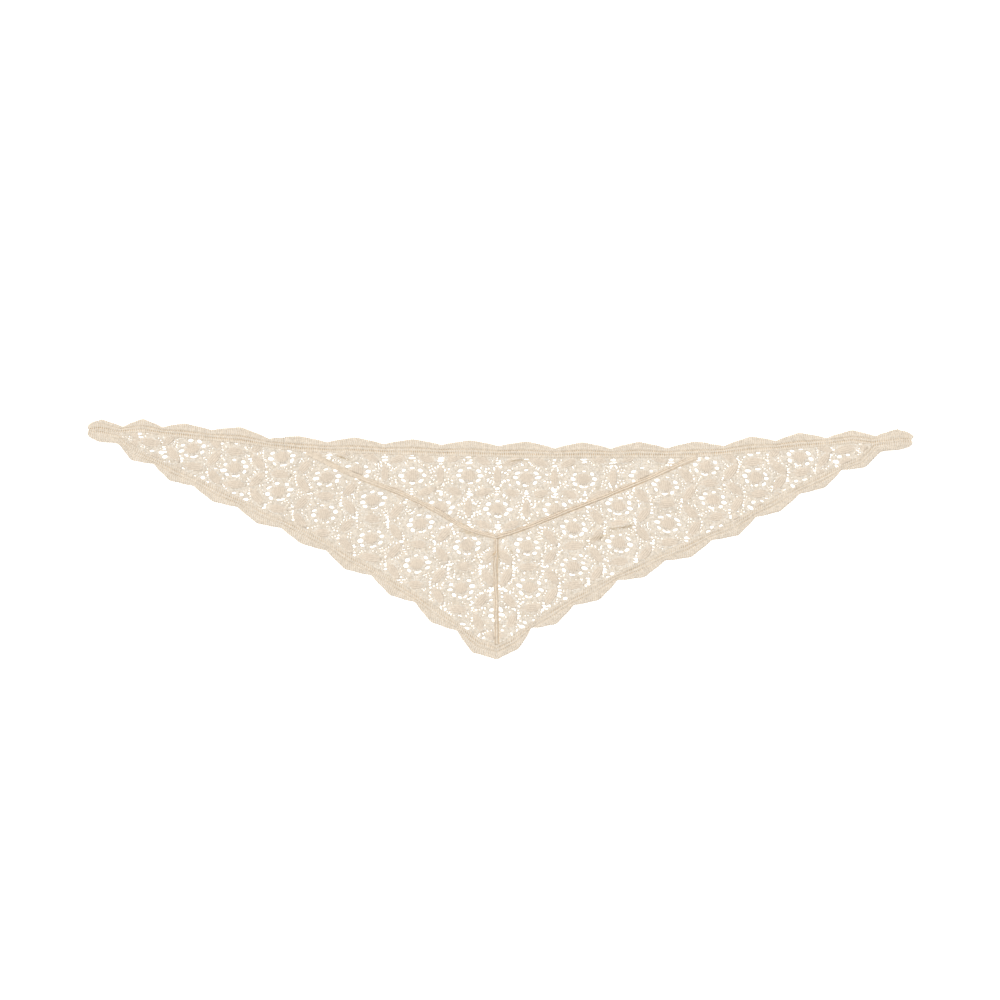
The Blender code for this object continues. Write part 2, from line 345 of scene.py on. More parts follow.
CREASES = (
    # An eighth number, where given, is the shadow painted along the crease's right flank.
    # The leaf that is folded over in the right-hand panel, and the slack beside it.
    Crease(136.0, 17.0, 186.0, 25.0, 3.0, 1.6, 0.05, 0.8),
    Crease(104.0, 1.0, 152.0, 17.0, 7.0, 1.8, 0.0, 0.5),
    Crease(150.0, 30.0, 212.0, 24.0, 8.0, 1.4),
    # Short folds under the top edge.
    Crease(1.0, 103.0, 42.0, 107.0, 1.5, 1.5, -0.04, 1.1),
    Crease(-226.0, 114.0, -194.0, 103.5, 1.9, 1.6, -0.06, 1.2),
    Crease(-262.0, 88.0, -196.0, 104.0, 7.0, 1.2),
    # Puckers where the three seams meet.
    Crease(-2.8, -14.0, -12.4, -30.0, 1.3, 1.3, 0.03, 1.3),
    Crease(-2.6, -38.0, -5.6, -9.0, 1.6, 1.2, 0.02, 0.9),
    Crease(-22.0, -4.0, -30.0, -34.0, 3.0, 1.0, 0.05, 0.35),
    Crease(14.0, -32.0, 8.0, -6.0, 3.0, 1.0, 0.05, 0.35),
    Crease(-66.0, 22.0, -14.0, 8.0, 4.0, 1.0, 0.06, 0.5),
    # Slack in the larger panels.
    Crease(20.0, 26.0, 84.0, 52.0, 8.0, 1.0),
    Crease(-300.0, 70.0, -240.0, 40.0, 10.0, 1.0),
    Crease(-120.0, -20.0, -60.0, -62.0, 9.0, 1.1),
    Crease(230.0, 60.0, 300.0, 88.0, 8.0, 1.2),
    Crease(60.0, -44.0, 128.0, -18.0, 9.0, 1.0),
    Crease(330.0, 96.0, 402.0, 116.0, 8.0, 1.0),
    Crease(-420.0, 112.0, -356.0, 96.0, 8.0, 0.9),
    Crease(-96.0, 70.0, -30.0, 96.0, 9.0, 1.0),
)


WAVE = 0.25  # mean height of the long waves
# How far the painted fold shadow reaches to either side of the right flank, in half-widths.
FOLD_SHADOW_SPREAD = 0.55  # how far the closed cloth reaches to either side, in half-widths
SLACK_HEIGHT = -66.0  # y of the place above the bottom point where the lace hangs most open


def ridge(crease: Crease, points: Array) -> tuple[Array, Array]:
    """Where points are on a crease.

    Args:
        crease: The crease.
        points: (n, 2) mm.
    Returns:
        (n,) half-widths to the right of its bowed line, and (n,) shares of its height there: cos²
        of a quarter turn from its middle to either end.
    """
    x, y = points.T
    run = np.array([crease.x2 - crease.x1, crease.y2 - crease.y1])
    length = np.hypot(*run)
    middle_x, middle_y = (crease.x1 + crease.x2) / 2, (crease.y1 + crease.y2) / 2
    along = ((x - middle_x) * run[0] + (y - middle_y) * run[1]) / length
    across = ((x - middle_x) * run[1] - (y - middle_y) * run[0]) / length
    share = np.clip(2 * along / length, -1, 1)
    off = across - crease.bow * length * np.cos(np.pi / 2 * share)
    return off / crease.half_width, np.cos(np.pi / 2 * share) ** 2


def lift(points: Array) -> Array:
    """How far the spread cloth stands off the table.

    Formula: for each crease, height · taper · exp(−(half-widths from its line)²), and the
    product of two long waves, kept above zero, that bend each other so that they don't repeat.

    Args:
        points: (n, 2) mm.
    Returns:
        (n,) mm, never negative.
    """
    x, y = points.T
    raised = WAVE * (1 + np.sin(x / 41 + np.sin(y / 37)) * np.cos(y / 29 - x / 83))
    for crease in CREASES:
        off, taper = ridge(crease, points)
        raised += crease.height * np.exp(-(off**2)) * taper
    return raised


def fold_shadow_at(points: Array) -> Array:
    """Painted shadow along the right flanks of the tight creases, in their folds.

    Formula: painted shadow · taper · exp(−((half-widths right of the line − 1) / spread)²), summed.

    Args:
        points: (n, 2) mm.
    Returns:
        (n,) painted shadow, from 0 where there is none.
    """
    # Painted shadow strength, summed over the creases.
    closed = np.zeros(len(points))
    for crease in CREASES:
        off, taper = ridge(crease, points)
        closed += crease.fold_shadow * taper * np.exp(-(((off - 1) / FOLD_SHADOW_SPREAD) ** 2))
    return closed


def hung_open(points: Array, spread: tuple[float, float]) -> Array:
    """How much the lace's own weight has pulled it open, above the scarf's bottom point.

    Formula: exp(−(x / spread in x)² − ((y − slack height) / spread in y)²).

    Args:
        points: (n, 2) mm.
        spread: How far it reaches in x and y, mm.
    Returns:
        (n,) from 0 to 1.
    """
    x, y = points.T
    return np.exp(-((x / spread[0]) ** 2) - ((y - SLACK_HEIGHT) / spread[1]) ** 2)


# ---------------------------------------------------------------------------- lace


class Openings(NamedTuple):
    """Elliptical openings: middles (n, 2), half-axes (n,) and tilt (n,) in radians."""

    middle: Array
    half_wide: Array
    half_high: Array
    tilt: Array


def ellipse_depth(offset_x: Array, offset_y: Array, holes: Openings, pick: Array) -> Array:
    """Roughly how far points are outside ellipses, in mm, negative inside.

    Formula: k (k − 1) / |(u / a², v / b²)|, where (u, v) is the point in the ellipse's own axes
    and k = |(u / a, v / b)|, or −b at the ellipse's middle.

    Args:
        offset_x: Distance in x from each ellipse's middle.
        offset_y: The same in y.
        holes: The ellipses.
        pick: Which ellipse each point is measured from, broadcasting with the offsets.
    Returns:
        The distances, shaped like the offsets.
    """
    tilt = holes.tilt[pick]
    along = offset_x * np.cos(tilt) + offset_y * np.sin(tilt)
    across = offset_y * np.cos(tilt) - offset_x * np.sin(tilt)
    a, b = holes.half_wide[pick], holes.half_high[pick]
    least = 1e-3  # keeps the middle from dividing nothing by nothing
    scaled = np.maximum(np.hypot(along / a, across / b), least)
    slope = np.maximum(np.hypot(along / a**2, across / b**2), least / b)
    return scaled * (scaled - 1) / slope


class EyeletStyle(NamedTuple):
    """One of the eyelets round a flower's centre, in a chart of the ring."""

    turn: float  # degrees round the ring
    half_wide: float
    half_high: float
    tilt: float  # degrees


EYELETS = (
    EyeletStyle(1.0, 3.8, 2.15, -4.0),
    EyeletStyle(40.0, 3.2, 1.9, -24.0),
    EyeletStyle(90.0, 3.2, 1.35, 0.0),
    EyeletStyle(140.0, 3.4, 1.8, 12.0),
    EyeletStyle(180.0, 3.8, 2.2, -4.0),
    EyeletStyle(219.0, 3.3, 1.85, -34.0),
    EyeletStyle(261.0, 2.8, 1.25, -17.0),
    EyeletStyle(279.0, 2.8, 1.25, 17.0),
    EyeletStyle(321.0, 3.3, 1.9, 32.0),
)


class Uneven(NamedTuple):
    """How unevenly one kind of opening is worked, as standard deviations.

    `along` and `across` are how far one strays, `size` a share of its size, `slant` radians.
    """

    along: float
    across: float
    size: float
    slant: float


class FlowerRow(NamedTuple):
    """Middles of the flowers along one row of a panel's lattice, from lattice column `first`."""

    first: int
    middles: tuple[tuple[float, float], ...]


@dataclass(kw_only=True)
class FlowerChart:
    """Where a panel's flowers, its leaves and the triangles between them are."""

    node: str
    lower: FlowerRow
    upper: FlowerRow
    tilt: float  # degrees by which the knitted courses run down to the right
    columns: tuple[int, int] = (-4, 10)  # lattice columns that may show
    course: float = 4.4  # spacing of the knitted courses
    centre_wide: float = 10.6  # half-axes of a flower's solid centre
    centre_high: float = 8.8
    leaf_half: float = 13.6  # half a leaf's length
    leaf_wide: float = 5.4  # half its width
    leaf_bluntness: float = 0.65  # the smaller, the blunter its tips
    leaf_slope: float = 0.8  # distance in from its outline, as a share of that across the leaf
    flower_reach: float = 12.0  # flowers, leaves and triangles whose middles lie this far outside
    leaf_reach: float = 9.0  # the panel still show in it
    triangle_reach: float = 4.0
    edges: Array = field(init=False)
    places: Array = field(init=False)

    def __post_init__(self) -> None:
        """Reads the panel's outline and lays out the whole lattice."""
        self.edges = outline(self.node)
        self.places = self.lattice()

    def lattice(self) -> Array:
        """Flower middles for every lattice row and column that may show.

        Formula: a charted row runs on at both ends by its mean step, and rows above and below
        the two charted ones repeat the difference between them.

        Returns:
            (rows, columns, 2) mm, rows from two below the lower charted row to two above the
            upper one.
        """
        columns = np.arange(self.columns[0], self.columns[1] + 1)
        rows = []
        for first, middles in (self.lower, self.upper):
            points = np.array(middles)
            step = (points[-1] - points[0]) / (len(points) - 1)
            known = np.arange(len(points)) + first
            row = np.stack([np.interp(columns, known, points[:, k]) for k in (0, 1)], axis=1)
            beyond = np.minimum(columns - first, 0) + np.maximum(columns - known[-1], 0)
            rows.append(row + beyond[:, None] * step)
        lower, upper = rows
        shift = upper - lower
        return np.stack([lower - 2 * shift, lower - shift, lower, upper, upper + shift,
                         upper + 2 * shift])

    def near(self, points: Array, reach: float) -> Array:
        """Which points lie inside the panel, or at most `reach` outside it."""
        return inside_by(points, self.edges) > -reach

    def flowers(self) -> Array:
        """(n, 2) middles of the flowers that show, some of them in part."""
        middles = self.places.reshape(-1, 2)
        return middles[self.near(middles, self.flower_reach)]

    def leaves(self) -> tuple[Array, Array]:
        """Middles and directions of the leaves that show.

        Formula: a leaf lies across each link of the lattice, at its middle, along the line
        between the lattice points on either side of the link.

        Returns:
            (n, 2) middles in mm and (n, 2) unit vectors.
        """
        p = self.places
        links = (
            (p[1:-1, :-1], p[1:-1, 1:], p[2:, 1:], p[:-2, :-1]),
            (p[:-1, 1:-1], p[1:, 1:-1], p[1:, 2:], p[:-1, :-2]),
            (p[:-1, :-1], p[1:, 1:], p[:-1, 1:], p[1:, :-1]),
        )
        middle = np.concatenate([((a + b) / 2).reshape(-1, 2) for a, b, _, _ in links])
        along = np.concatenate([(c - d).reshape(-1, 2) for _, _, c, d in links])
        along /= np.linalg.norm(along, axis=1, keepdims=True)
        shown = self.near(middle, self.leaf_reach)
        return middle[shown], along[shown]

    def triangles(self) -> tuple[Array, Array, Array]:
        """The lattice's triangles, each with two flowers of one row and one of the next.

        Returns:
            (n, 2) middles in mm, (n, 2, 2) the two flowers of one row, and (n,) 1 where the odd
            flower is above them, −1 where below.
        """
        p = self.places
        low = [part.reshape(-1, 2) for part in (p[:-1, :-1], p[:-1, 1:], p[1:, 1:])]
        high = [part.reshape(-1, 2) for part in (p[1:, 1:], p[1:, :-1], p[:-1, :-1])]
        corners = np.concatenate([np.stack(low, axis=1), np.stack(high, axis=1)])
        middle = corners.mean(axis=1)
        up = np.repeat([1.0, -1.0], [len(low[0]), len(high[0])])
        shown = self.near(middle, self.triangle_reach)
        return middle[shown], corners[shown, :2], up[shown]

    def turned(self, along: Array, across: Array, middle: Array) -> Array:
        """Points given along and across the knitted courses, about a middle."""
        cos, sin = math.cos(math.radians(self.tilt)), -math.sin(math.radians(self.tilt))
        return middle + np.stack([along * cos - across * sin, along * sin + across * cos], -1)

    def leaf_level(self, points: Array, middle: Array, way: Array, grow: float = 1.0) -> Array:
        """Where points are in leaves: under 1 inside one, 1 on its outline.

        Formula: |across| / (half-width · cos^bluntness(quarter turns · |along| / half-length))
        for a leaf that is `grow` times its size, and large past its tips.

        Args:
            points: (n, 2) mm.
            middle: (leaves, 2) mm.
            way: (leaves, 2) unit vectors along them.
            grow: How many times its size each leaf is taken to be.
        Returns:
            (n, leaves).
        """
        offset = points[:, None] - middle
        along = np.abs(np.sum(offset * way, axis=-1)) / (self.leaf_half * grow)
        across = np.abs(offset[..., 0] * way[:, 1] - offset[..., 1] * way[:, 0])
        before_tip = np.minimum(along, 0.98)  # the width at the very tip would be nothing
        taper = np.cos(np.pi / 2 * before_tip) ** self.leaf_bluntness
        return np.where(along < 1, across / (self.leaf_wide * grow * taper), FAR)

    def solid_depth(self, points: Array) -> Array:
        """How far points are inside a leaf or a flower's centre, negative outside.

        Args:
            points: (n, 2) mm.
        Returns:
            (n,) mm.
        """
        best = np.full(len(points), -FAR)
        for middle in self.flowers():
            offset = points - middle
            scaled = np.hypot(offset[:, 0] / self.centre_wide, offset[:, 1] / self.centre_high)
            best = np.maximum(best, (1 - scaled) * self.centre_high)
        for middle, way in zip(*self.leaves()):
            close = np.abs(points - middle).max(axis=1) < self.leaf_half
            level = self.leaf_level(points[close], middle[None], way[None])[:, 0]
            inward = (1 - level) * self.leaf_wide * self.leaf_slope
            best[close] = np.maximum(best[close], inward)
        return best


@dataclass(kw_only=True)
class Openwork(FlowerChart):
    """A chart with its openings: eyelets round flowers, slits in triangles, and small ones."""

    seed: int
    ring_wide: float = 15.0  # half-axes of the ring of eyelets
    ring_high: float = 10.3
    ring_hang: float = 0.17  # how much taller rings are above the bottom point
    ring_hang_spread: tuple[float, float] = (75.0, 35.0)
    ring_uneven: Uneven = Uneven(0.05, 0.03, 0.13, 0.15)  # radians round it, share of its size
    band_wide: float = 22.6  # half-axes of the solid band outside the eyelets
    band_high: float = 15.2
    stack_rows: tuple[float, ...] = (-0.1, 0.75, 1.6, 2.4)  # courses from a triangle's middle
    stack_middle: float = 1.6
    stack_room: tuple[float, float] = (5.8, 6.6)  # half-axes of the room that a stack takes
    widths_up: tuple[float, ...] = (0.75, 1.0, 0.9, 0.35)  # where the odd flower is above
    widths_down: tuple[float, ...] = (0.35, 0.8, 1.0, 0.95)
    slit_half_wide: float = 4.5
    slit_half_high: float = 1.3
    slit_uneven: Uneven = Uneven(0.7, 0.15, 0.2, 0.08)
    slit_shares: tuple[float, float] = (0.5, 1.25)  # least and greatest share of a slit's size
    stack_stray: float = 0.25  # how far a whole stack strays, in courses
    lowest_slit: float = -108.0  # below this, towards the scarf's bottom point, are none
    cluster_columns: tuple[float, ...] = (4.6, 8.4, 12.2, 16.0)  # from a triangle's middle
    cluster_rows: tuple[float, ...] = (5.0, 1.8, -1.4)  # towards the leaf between the flowers
    first_column: float = 1.3  # how much larger the openings of a cluster's first column are
    small_half_long: float = 1.6
    small_half_wide: float = 0.86
    small_uneven: Uneven = Uneven(0.5, 0.5, 0.15, 0.15)
    small_shares: tuple[float, float] = (0.75, 1.25)
    small_gap: float = 0.4  # least width of the threads between small openings
    leaf_room: float = 1.08  # how much room a leaf takes, as a share of its size
    rung_long: float = 1.35  # size of the gaps between rungs, as shares of a small opening's
    rung_wide: float = 0.74
    rung_row: tuple[float, float] = (3.1, 3.2)  # distance from a leaf's flank, and spacing
    rung_past_tip: float = 0.8  # distance past its tip, as a share of that
    rungs_closed: float = 0.4  # share of the gaps between rungs that lie too close to show
    rungs_opened: float = 0.9  # share of those that open above the bottom point
    rungs_spread: tuple[float, float] = (110.0, 60.0)
    tip_size: float = 0.9  # small openings' size at the scarf's tips
    middle_gain: float = 0.32  # how much larger they are in its middle, where the lace is slack
    middle_spread: float = 130.0
    hem: float = 2.7  # small openings keep this far from the panel's edge
    random: np.random.Generator = field(init=False)

    def __post_init__(self) -> None:
        """Lays out the chart and starts the panel's random draws."""
        super().__post_init__()
        self.random = np.random.default_rng(self.seed)

    def ring_openings(self) -> Openings:
        """The eyelets round every flower, each a little off its place in the chart.

        Formula: the ring is an ellipse, taller where the lace hangs open above the scarf's
        bottom point.

        Returns:
            The openings, flower by flower.
        """
        flowers = self.flowers()
        hang = hung_open(flowers, self.ring_hang_spread)
        chart = np.array(EYELETS)
        shape = (len(flowers), len(chart))
        uneven = self.ring_uneven
        turn = np.radians(chart[:, 0]) + self.random.normal(0, uneven.along, shape)
        reach = 1 + self.random.normal(0, uneven.across, shape)
        middle = self.turned(
            self.ring_wide * reach * np.cos(turn),
            self.ring_high * (1 + self.ring_hang * hang[:, None]) * reach * np.sin(turn),
            flowers[:, None],
        )
        swell = 1 + self.random.normal(0, uneven.size, (2,) + shape)
        tilt = np.radians(chart[:, 3] - self.tilt) + self.random.normal(0, uneven.slant, shape)
        return Openings(
            middle.reshape(-1, 2),
            (chart[:, 1] * swell[0]).ravel(),
            (chart[:, 2] * swell[1]).ravel(),
            tilt.ravel(),
        )

    def slit_openings(self) -> Openings:
        """Slits, one above another, in every triangle of the lattice but the lowest ones.

        The stack stands off from the triangle's middle, where leaf tips meet, towards its odd
        flower.

        Returns:
            The openings, stack by stack.
        """
        middle, _, up = self.triangles()
        rows = np.array(self.stack_rows)
        shape = (len(middle), len(rows))
        uneven = self.slit_uneven
        start = self.random.normal(0, self.stack_stray, (len(middle), 1))
        across = (rows + start) * self.course * up[:, None]
        across += self.random.normal(0, uneven.across, shape)
        along = self.random.normal(0, uneven.along, shape)
        swell = np.clip(1 + self.random.normal(0, uneven.size, (2,) + shape), *self.slit_shares)
        widths = np.where(up[:, None] > 0, self.widths_up, self.widths_down)
        slits = Openings(
            self.turned(along, across, middle[:, None]).reshape(-1, 2),
            (self.slit_half_wide * widths * swell[0]).ravel(),
            (self.slit_half_high * swell[1]).ravel(),
            self.random.normal(-math.radians(self.tilt), uneven.slant, across.size),
        )
        kept = slits.middle[:, 1] > self.lowest_slit
        return Openings(*(part[kept] for part in slits))

    def clusters(self) -> tuple[Array, Array, Array]:
        """Places beside each end of every leaf, in columns that fan out to a flower.

        Formula: for each triangle and each of its two flowers of one row, points at the columns'
        distances from the triangle's middle towards the flower, and at the rows' distances to
        the side where the leaf between the two flowers is; each opening slants away from that
        leaf's middle.

        Returns:
            (n, 2) mm, (n,) slants in radians, and (n,) sizes, the first column's being largest.
        """
        middle, pairs, _ = self.triangles()
        leaf = pairs.mean(axis=1)
        reach, side = np.meshgrid(self.cluster_columns, self.cluster_rows)
        spots = []
        for flower in (pairs[:, 0], pairs[:, 1]):
            toward = flower - middle
            toward /= np.linalg.norm(toward, axis=1, keepdims=True)
            aside = leaf - middle
            aside -= toward * np.sum(aside * toward, axis=1, keepdims=True)
            aside /= np.linalg.norm(aside, axis=1, keepdims=True)
            spots.append(middle[:, None] + reach.ravel()[:, None] * toward[:, None]
                         + side.ravel()[:, None] * aside[:, None])
        points = np.concatenate(spots)
        out = points - np.tile(leaf, (2, 1))[:, None]
        tilt = np.arctan2(out[..., 1], out[..., 0])
        size = np.where(reach.ravel() > self.cluster_columns[0], 1.0, self.first_column)
        return points.reshape(-1, 2), tilt.ravel(), np.tile(size, len(points))

    def rungs(self) -> tuple[Array, Array]:
        """Some of the places between the rungs of net that tie a leaf to what is beside it.

        Formula: points at equal distances along an ellipse round each leaf, slanting square to
        it.  Fewer are left out where the lace hangs open above the scarf's bottom point.

        Returns:
            (n, 2) mm, and (n,) slants in radians.
        """
        middle, way = self.leaves()
        side = np.stack([-way[:, 1], way[:, 0]], axis=1)
        turn = np.linspace(0, 2 * np.pi, 361)
        offset, spacing = self.rung_row
        wide, high = self.leaf_half + self.rung_past_tip * offset, self.leaf_wide + offset
        arc = np.hypot(wide * np.gradient(np.cos(turn)), high * np.gradient(np.sin(turn)))
        arc = np.cumsum(arc) - arc[0]
        number = int(arc[-1] / spacing)
        start = self.random.random(len(middle))[:, None]
        at = np.interp((np.arange(number) + start) / number * arc[-1] % arc[-1], arc, turn)
        at = at[..., None]
        spot = middle[:, None] + way[:, None] * wide * np.cos(at) + side[:, None] * high * np.sin(at)
        out = way[:, None] * np.cos(at) / wide + side[:, None] * np.sin(at) / high
        points, tilt = spot.reshape(-1, 2), np.arctan2(out[..., 1], out[..., 0]).ravel()
        opened = self.rungs_opened * hung_open(points, self.rungs_spread)
        kept = self.random.random(len(points)) > self.rungs_closed * (1 - opened)
        return points[kept], tilt[kept]

    def roomy(self, points: Array) -> Array:
        """Which points are clear of the hem, flowers' bands, leaves and stacks of slits.

        Args:
            points: (n, 2) mm.
        Returns:
            (n,) booleans.
        """
        kept = self.near(points, -self.hem)
        offset = points[:, None] - self.flowers()
        band = np.hypot(offset[..., 0] / self.band_wide, offset[..., 1] / self.band_high)
        kept &= (band > 1).all(axis=1)
        kept &= (self.leaf_level(points, *self.leaves(), self.leaf_room) > 1).all(axis=1)
        middle, _, up = self.triangles()
        offset = points[:, None] - middle
        offset[..., 1] -= self.stack_middle * self.course * up
        wide, high = self.stack_room
        return kept & (np.hypot(offset[..., 0] / wide, offset[..., 1] / high) > 1).all(axis=1)

    def small_openings(self) -> Openings:
        """The clusters' and rungs' openings, each a little off its place.

        Those with no room, or too near an earlier one, are left out.

        Formula: sizes follow a bell curve of the distance from the scarf's middle.

        Returns:
            The openings.
        """
        (cluster, fanned, large), (rung, square) = self.clusters(), self.rungs()
        points, tilt = np.concatenate([cluster, rung]), np.concatenate([fanned, square])
        gaps = np.repeat([[self.rung_long], [self.rung_wide]], len(rung), axis=1)
        size = np.concatenate([np.tile(large, (2, 1)), gaps], axis=1)
        uneven = self.small_uneven
        points += self.random.normal(0, (uneven.along, uneven.across), points.shape)
        kept = self.roomy(points)
        points, tilt, size = points[kept], tilt[kept], size[:, kept]
        drawn = 1 + self.random.normal(0, uneven.size, (2, len(points)))
        swell = size * np.clip(drawn, *self.small_shares)
        slack = np.exp(-((points[:, 0] / self.middle_spread) ** 2))
        swell *= self.tip_size + self.middle_gain * slack
        tilt = tilt + self.random.normal(0, uneven.slant, len(points))
        long, wide = self.small_half_long * swell[0], self.small_half_wide * swell[1]
        gap = points[:, None] - points
        cos, sin = np.cos(tilt)[:, None], np.sin(tilt)[:, None]
        along = (gap[..., 0] * cos + gap[..., 1] * sin) / (long[:, None] + long + self.small_gap)
        across = (gap[..., 1] * cos - gap[..., 0] * sin) / (wide[:, None] + wide + self.small_gap)
        apart = ~np.tril(np.hypot(along, across) < 1, -1).any(axis=1)
        return Openings(points[apart], long[apart], wide[apart], tilt[apart])

    def openings(self) -> Openings:
        """Every opening of the panel."""
        kinds = (self.ring_openings(), self.slit_openings(), self.small_openings())
        return Openings(*(np.concatenate(parts) for parts in zip(*kinds)))


ROW_SHARE = math.sqrt(3) / 2  # height of an equilateral triangle, as a share of its side


@dataclass(frozen=True)
class PointLattice:
    """A lattice of equilateral triangles, whose odd rows stand half a step to the right."""

    low: Array  # its first point, mm
    step: float
    rows: int
    columns: int

    @classmethod
    def over(cls, edges: Array, step: float) -> "PointLattice":
        """A lattice that covers an outline, with two steps to spare all round.

        Args:
            edges: (n, 2, 2) mm, from `outline`.
            step: The triangles' side, in mm.
        Returns:
            The lattice.
        """
        low = edges.reshape(-1, 2).min(axis=0) - 2 * step
        high = edges.reshape(-1, 2).max(axis=0) + 2 * step
        columns, rows = ((high - low) / (step, step * ROW_SHARE)).astype(int) + 2
        return cls(low, step, rows, columns)

    @property
    def rise(self) -> float:
        """Distance between rows."""
        return self.step * ROW_SHARE

    def at(self, row: Array, column: Array) -> Array:
        """Points of the given rows and columns, in mm."""
        x = self.low[0] + (column + 0.5 * (row % 2)) * self.step
        return np.stack([x, self.low[1] + row * self.rise], axis=-1)

    def points(self) -> Array:
        """(rows · columns, 2) mm, row by row."""
        row, column = np.meshgrid(np.arange(self.rows), np.arange(self.columns), indexing="ij")
        return self.at(row, column).reshape(-1, 2)

    def nearest(self, places: Array) -> Array:
        """The point nearest to each place, in the row nearest to it.

        Args:
            places: (n, 2) mm.
        Returns:
            (n, 2) mm.
        """
        row = np.round((places[:, 1] - self.low[1]) / self.rise)
        column = np.round((places[:, 0] - self.low[0]) / self.step - 0.5 * (row % 2))
        return self.at(row, column)

    def around(self, places: Array, reach: int) -> Array:
        """Indices of the points at most `reach` rows and columns from each place.

        Args:
            places: (n, 2) mm.
            reach: How many rows and columns to either side.
        Returns:
            (n, 2 · reach + 1, 2 · reach + 1).
        """
        row = np.round((places[:, 1] - self.low[1]) / self.rise).astype(int)
        column = np.round((places[:, 0] - self.low[0]) / self.step).astype(int)
        span = np.arange(-reach, reach + 1)
        row = np.clip(row[:, None, None] + span[:, None], 0, self.rows - 1)
        column = np.clip(column[:, None, None] + span, 0, self.columns - 1)
        return row * self.columns + column

    def faces(self) -> Array:
        """The lattice's triangles.

        Returns:
            (n, 3) indices of their corners, anticlockwise.
        """
        index = np.arange(self.rows * self.columns).reshape(self.rows, self.columns)
        here, right = index[:-1, :-1], index[:-1, 1:]
        above, above_right = index[1:, :-1], index[1:, 1:]
        even = (np.arange(self.rows - 1) % 2 == 0)[:, None]
        first = np.stack([here, right, np.where(even, above, above_right)], axis=-1)
        second = np.stack([np.where(even, right, here), above_right, above], axis=-1)
        return np.concatenate([first.reshape(-1, 3), second.reshape(-1, 3)])


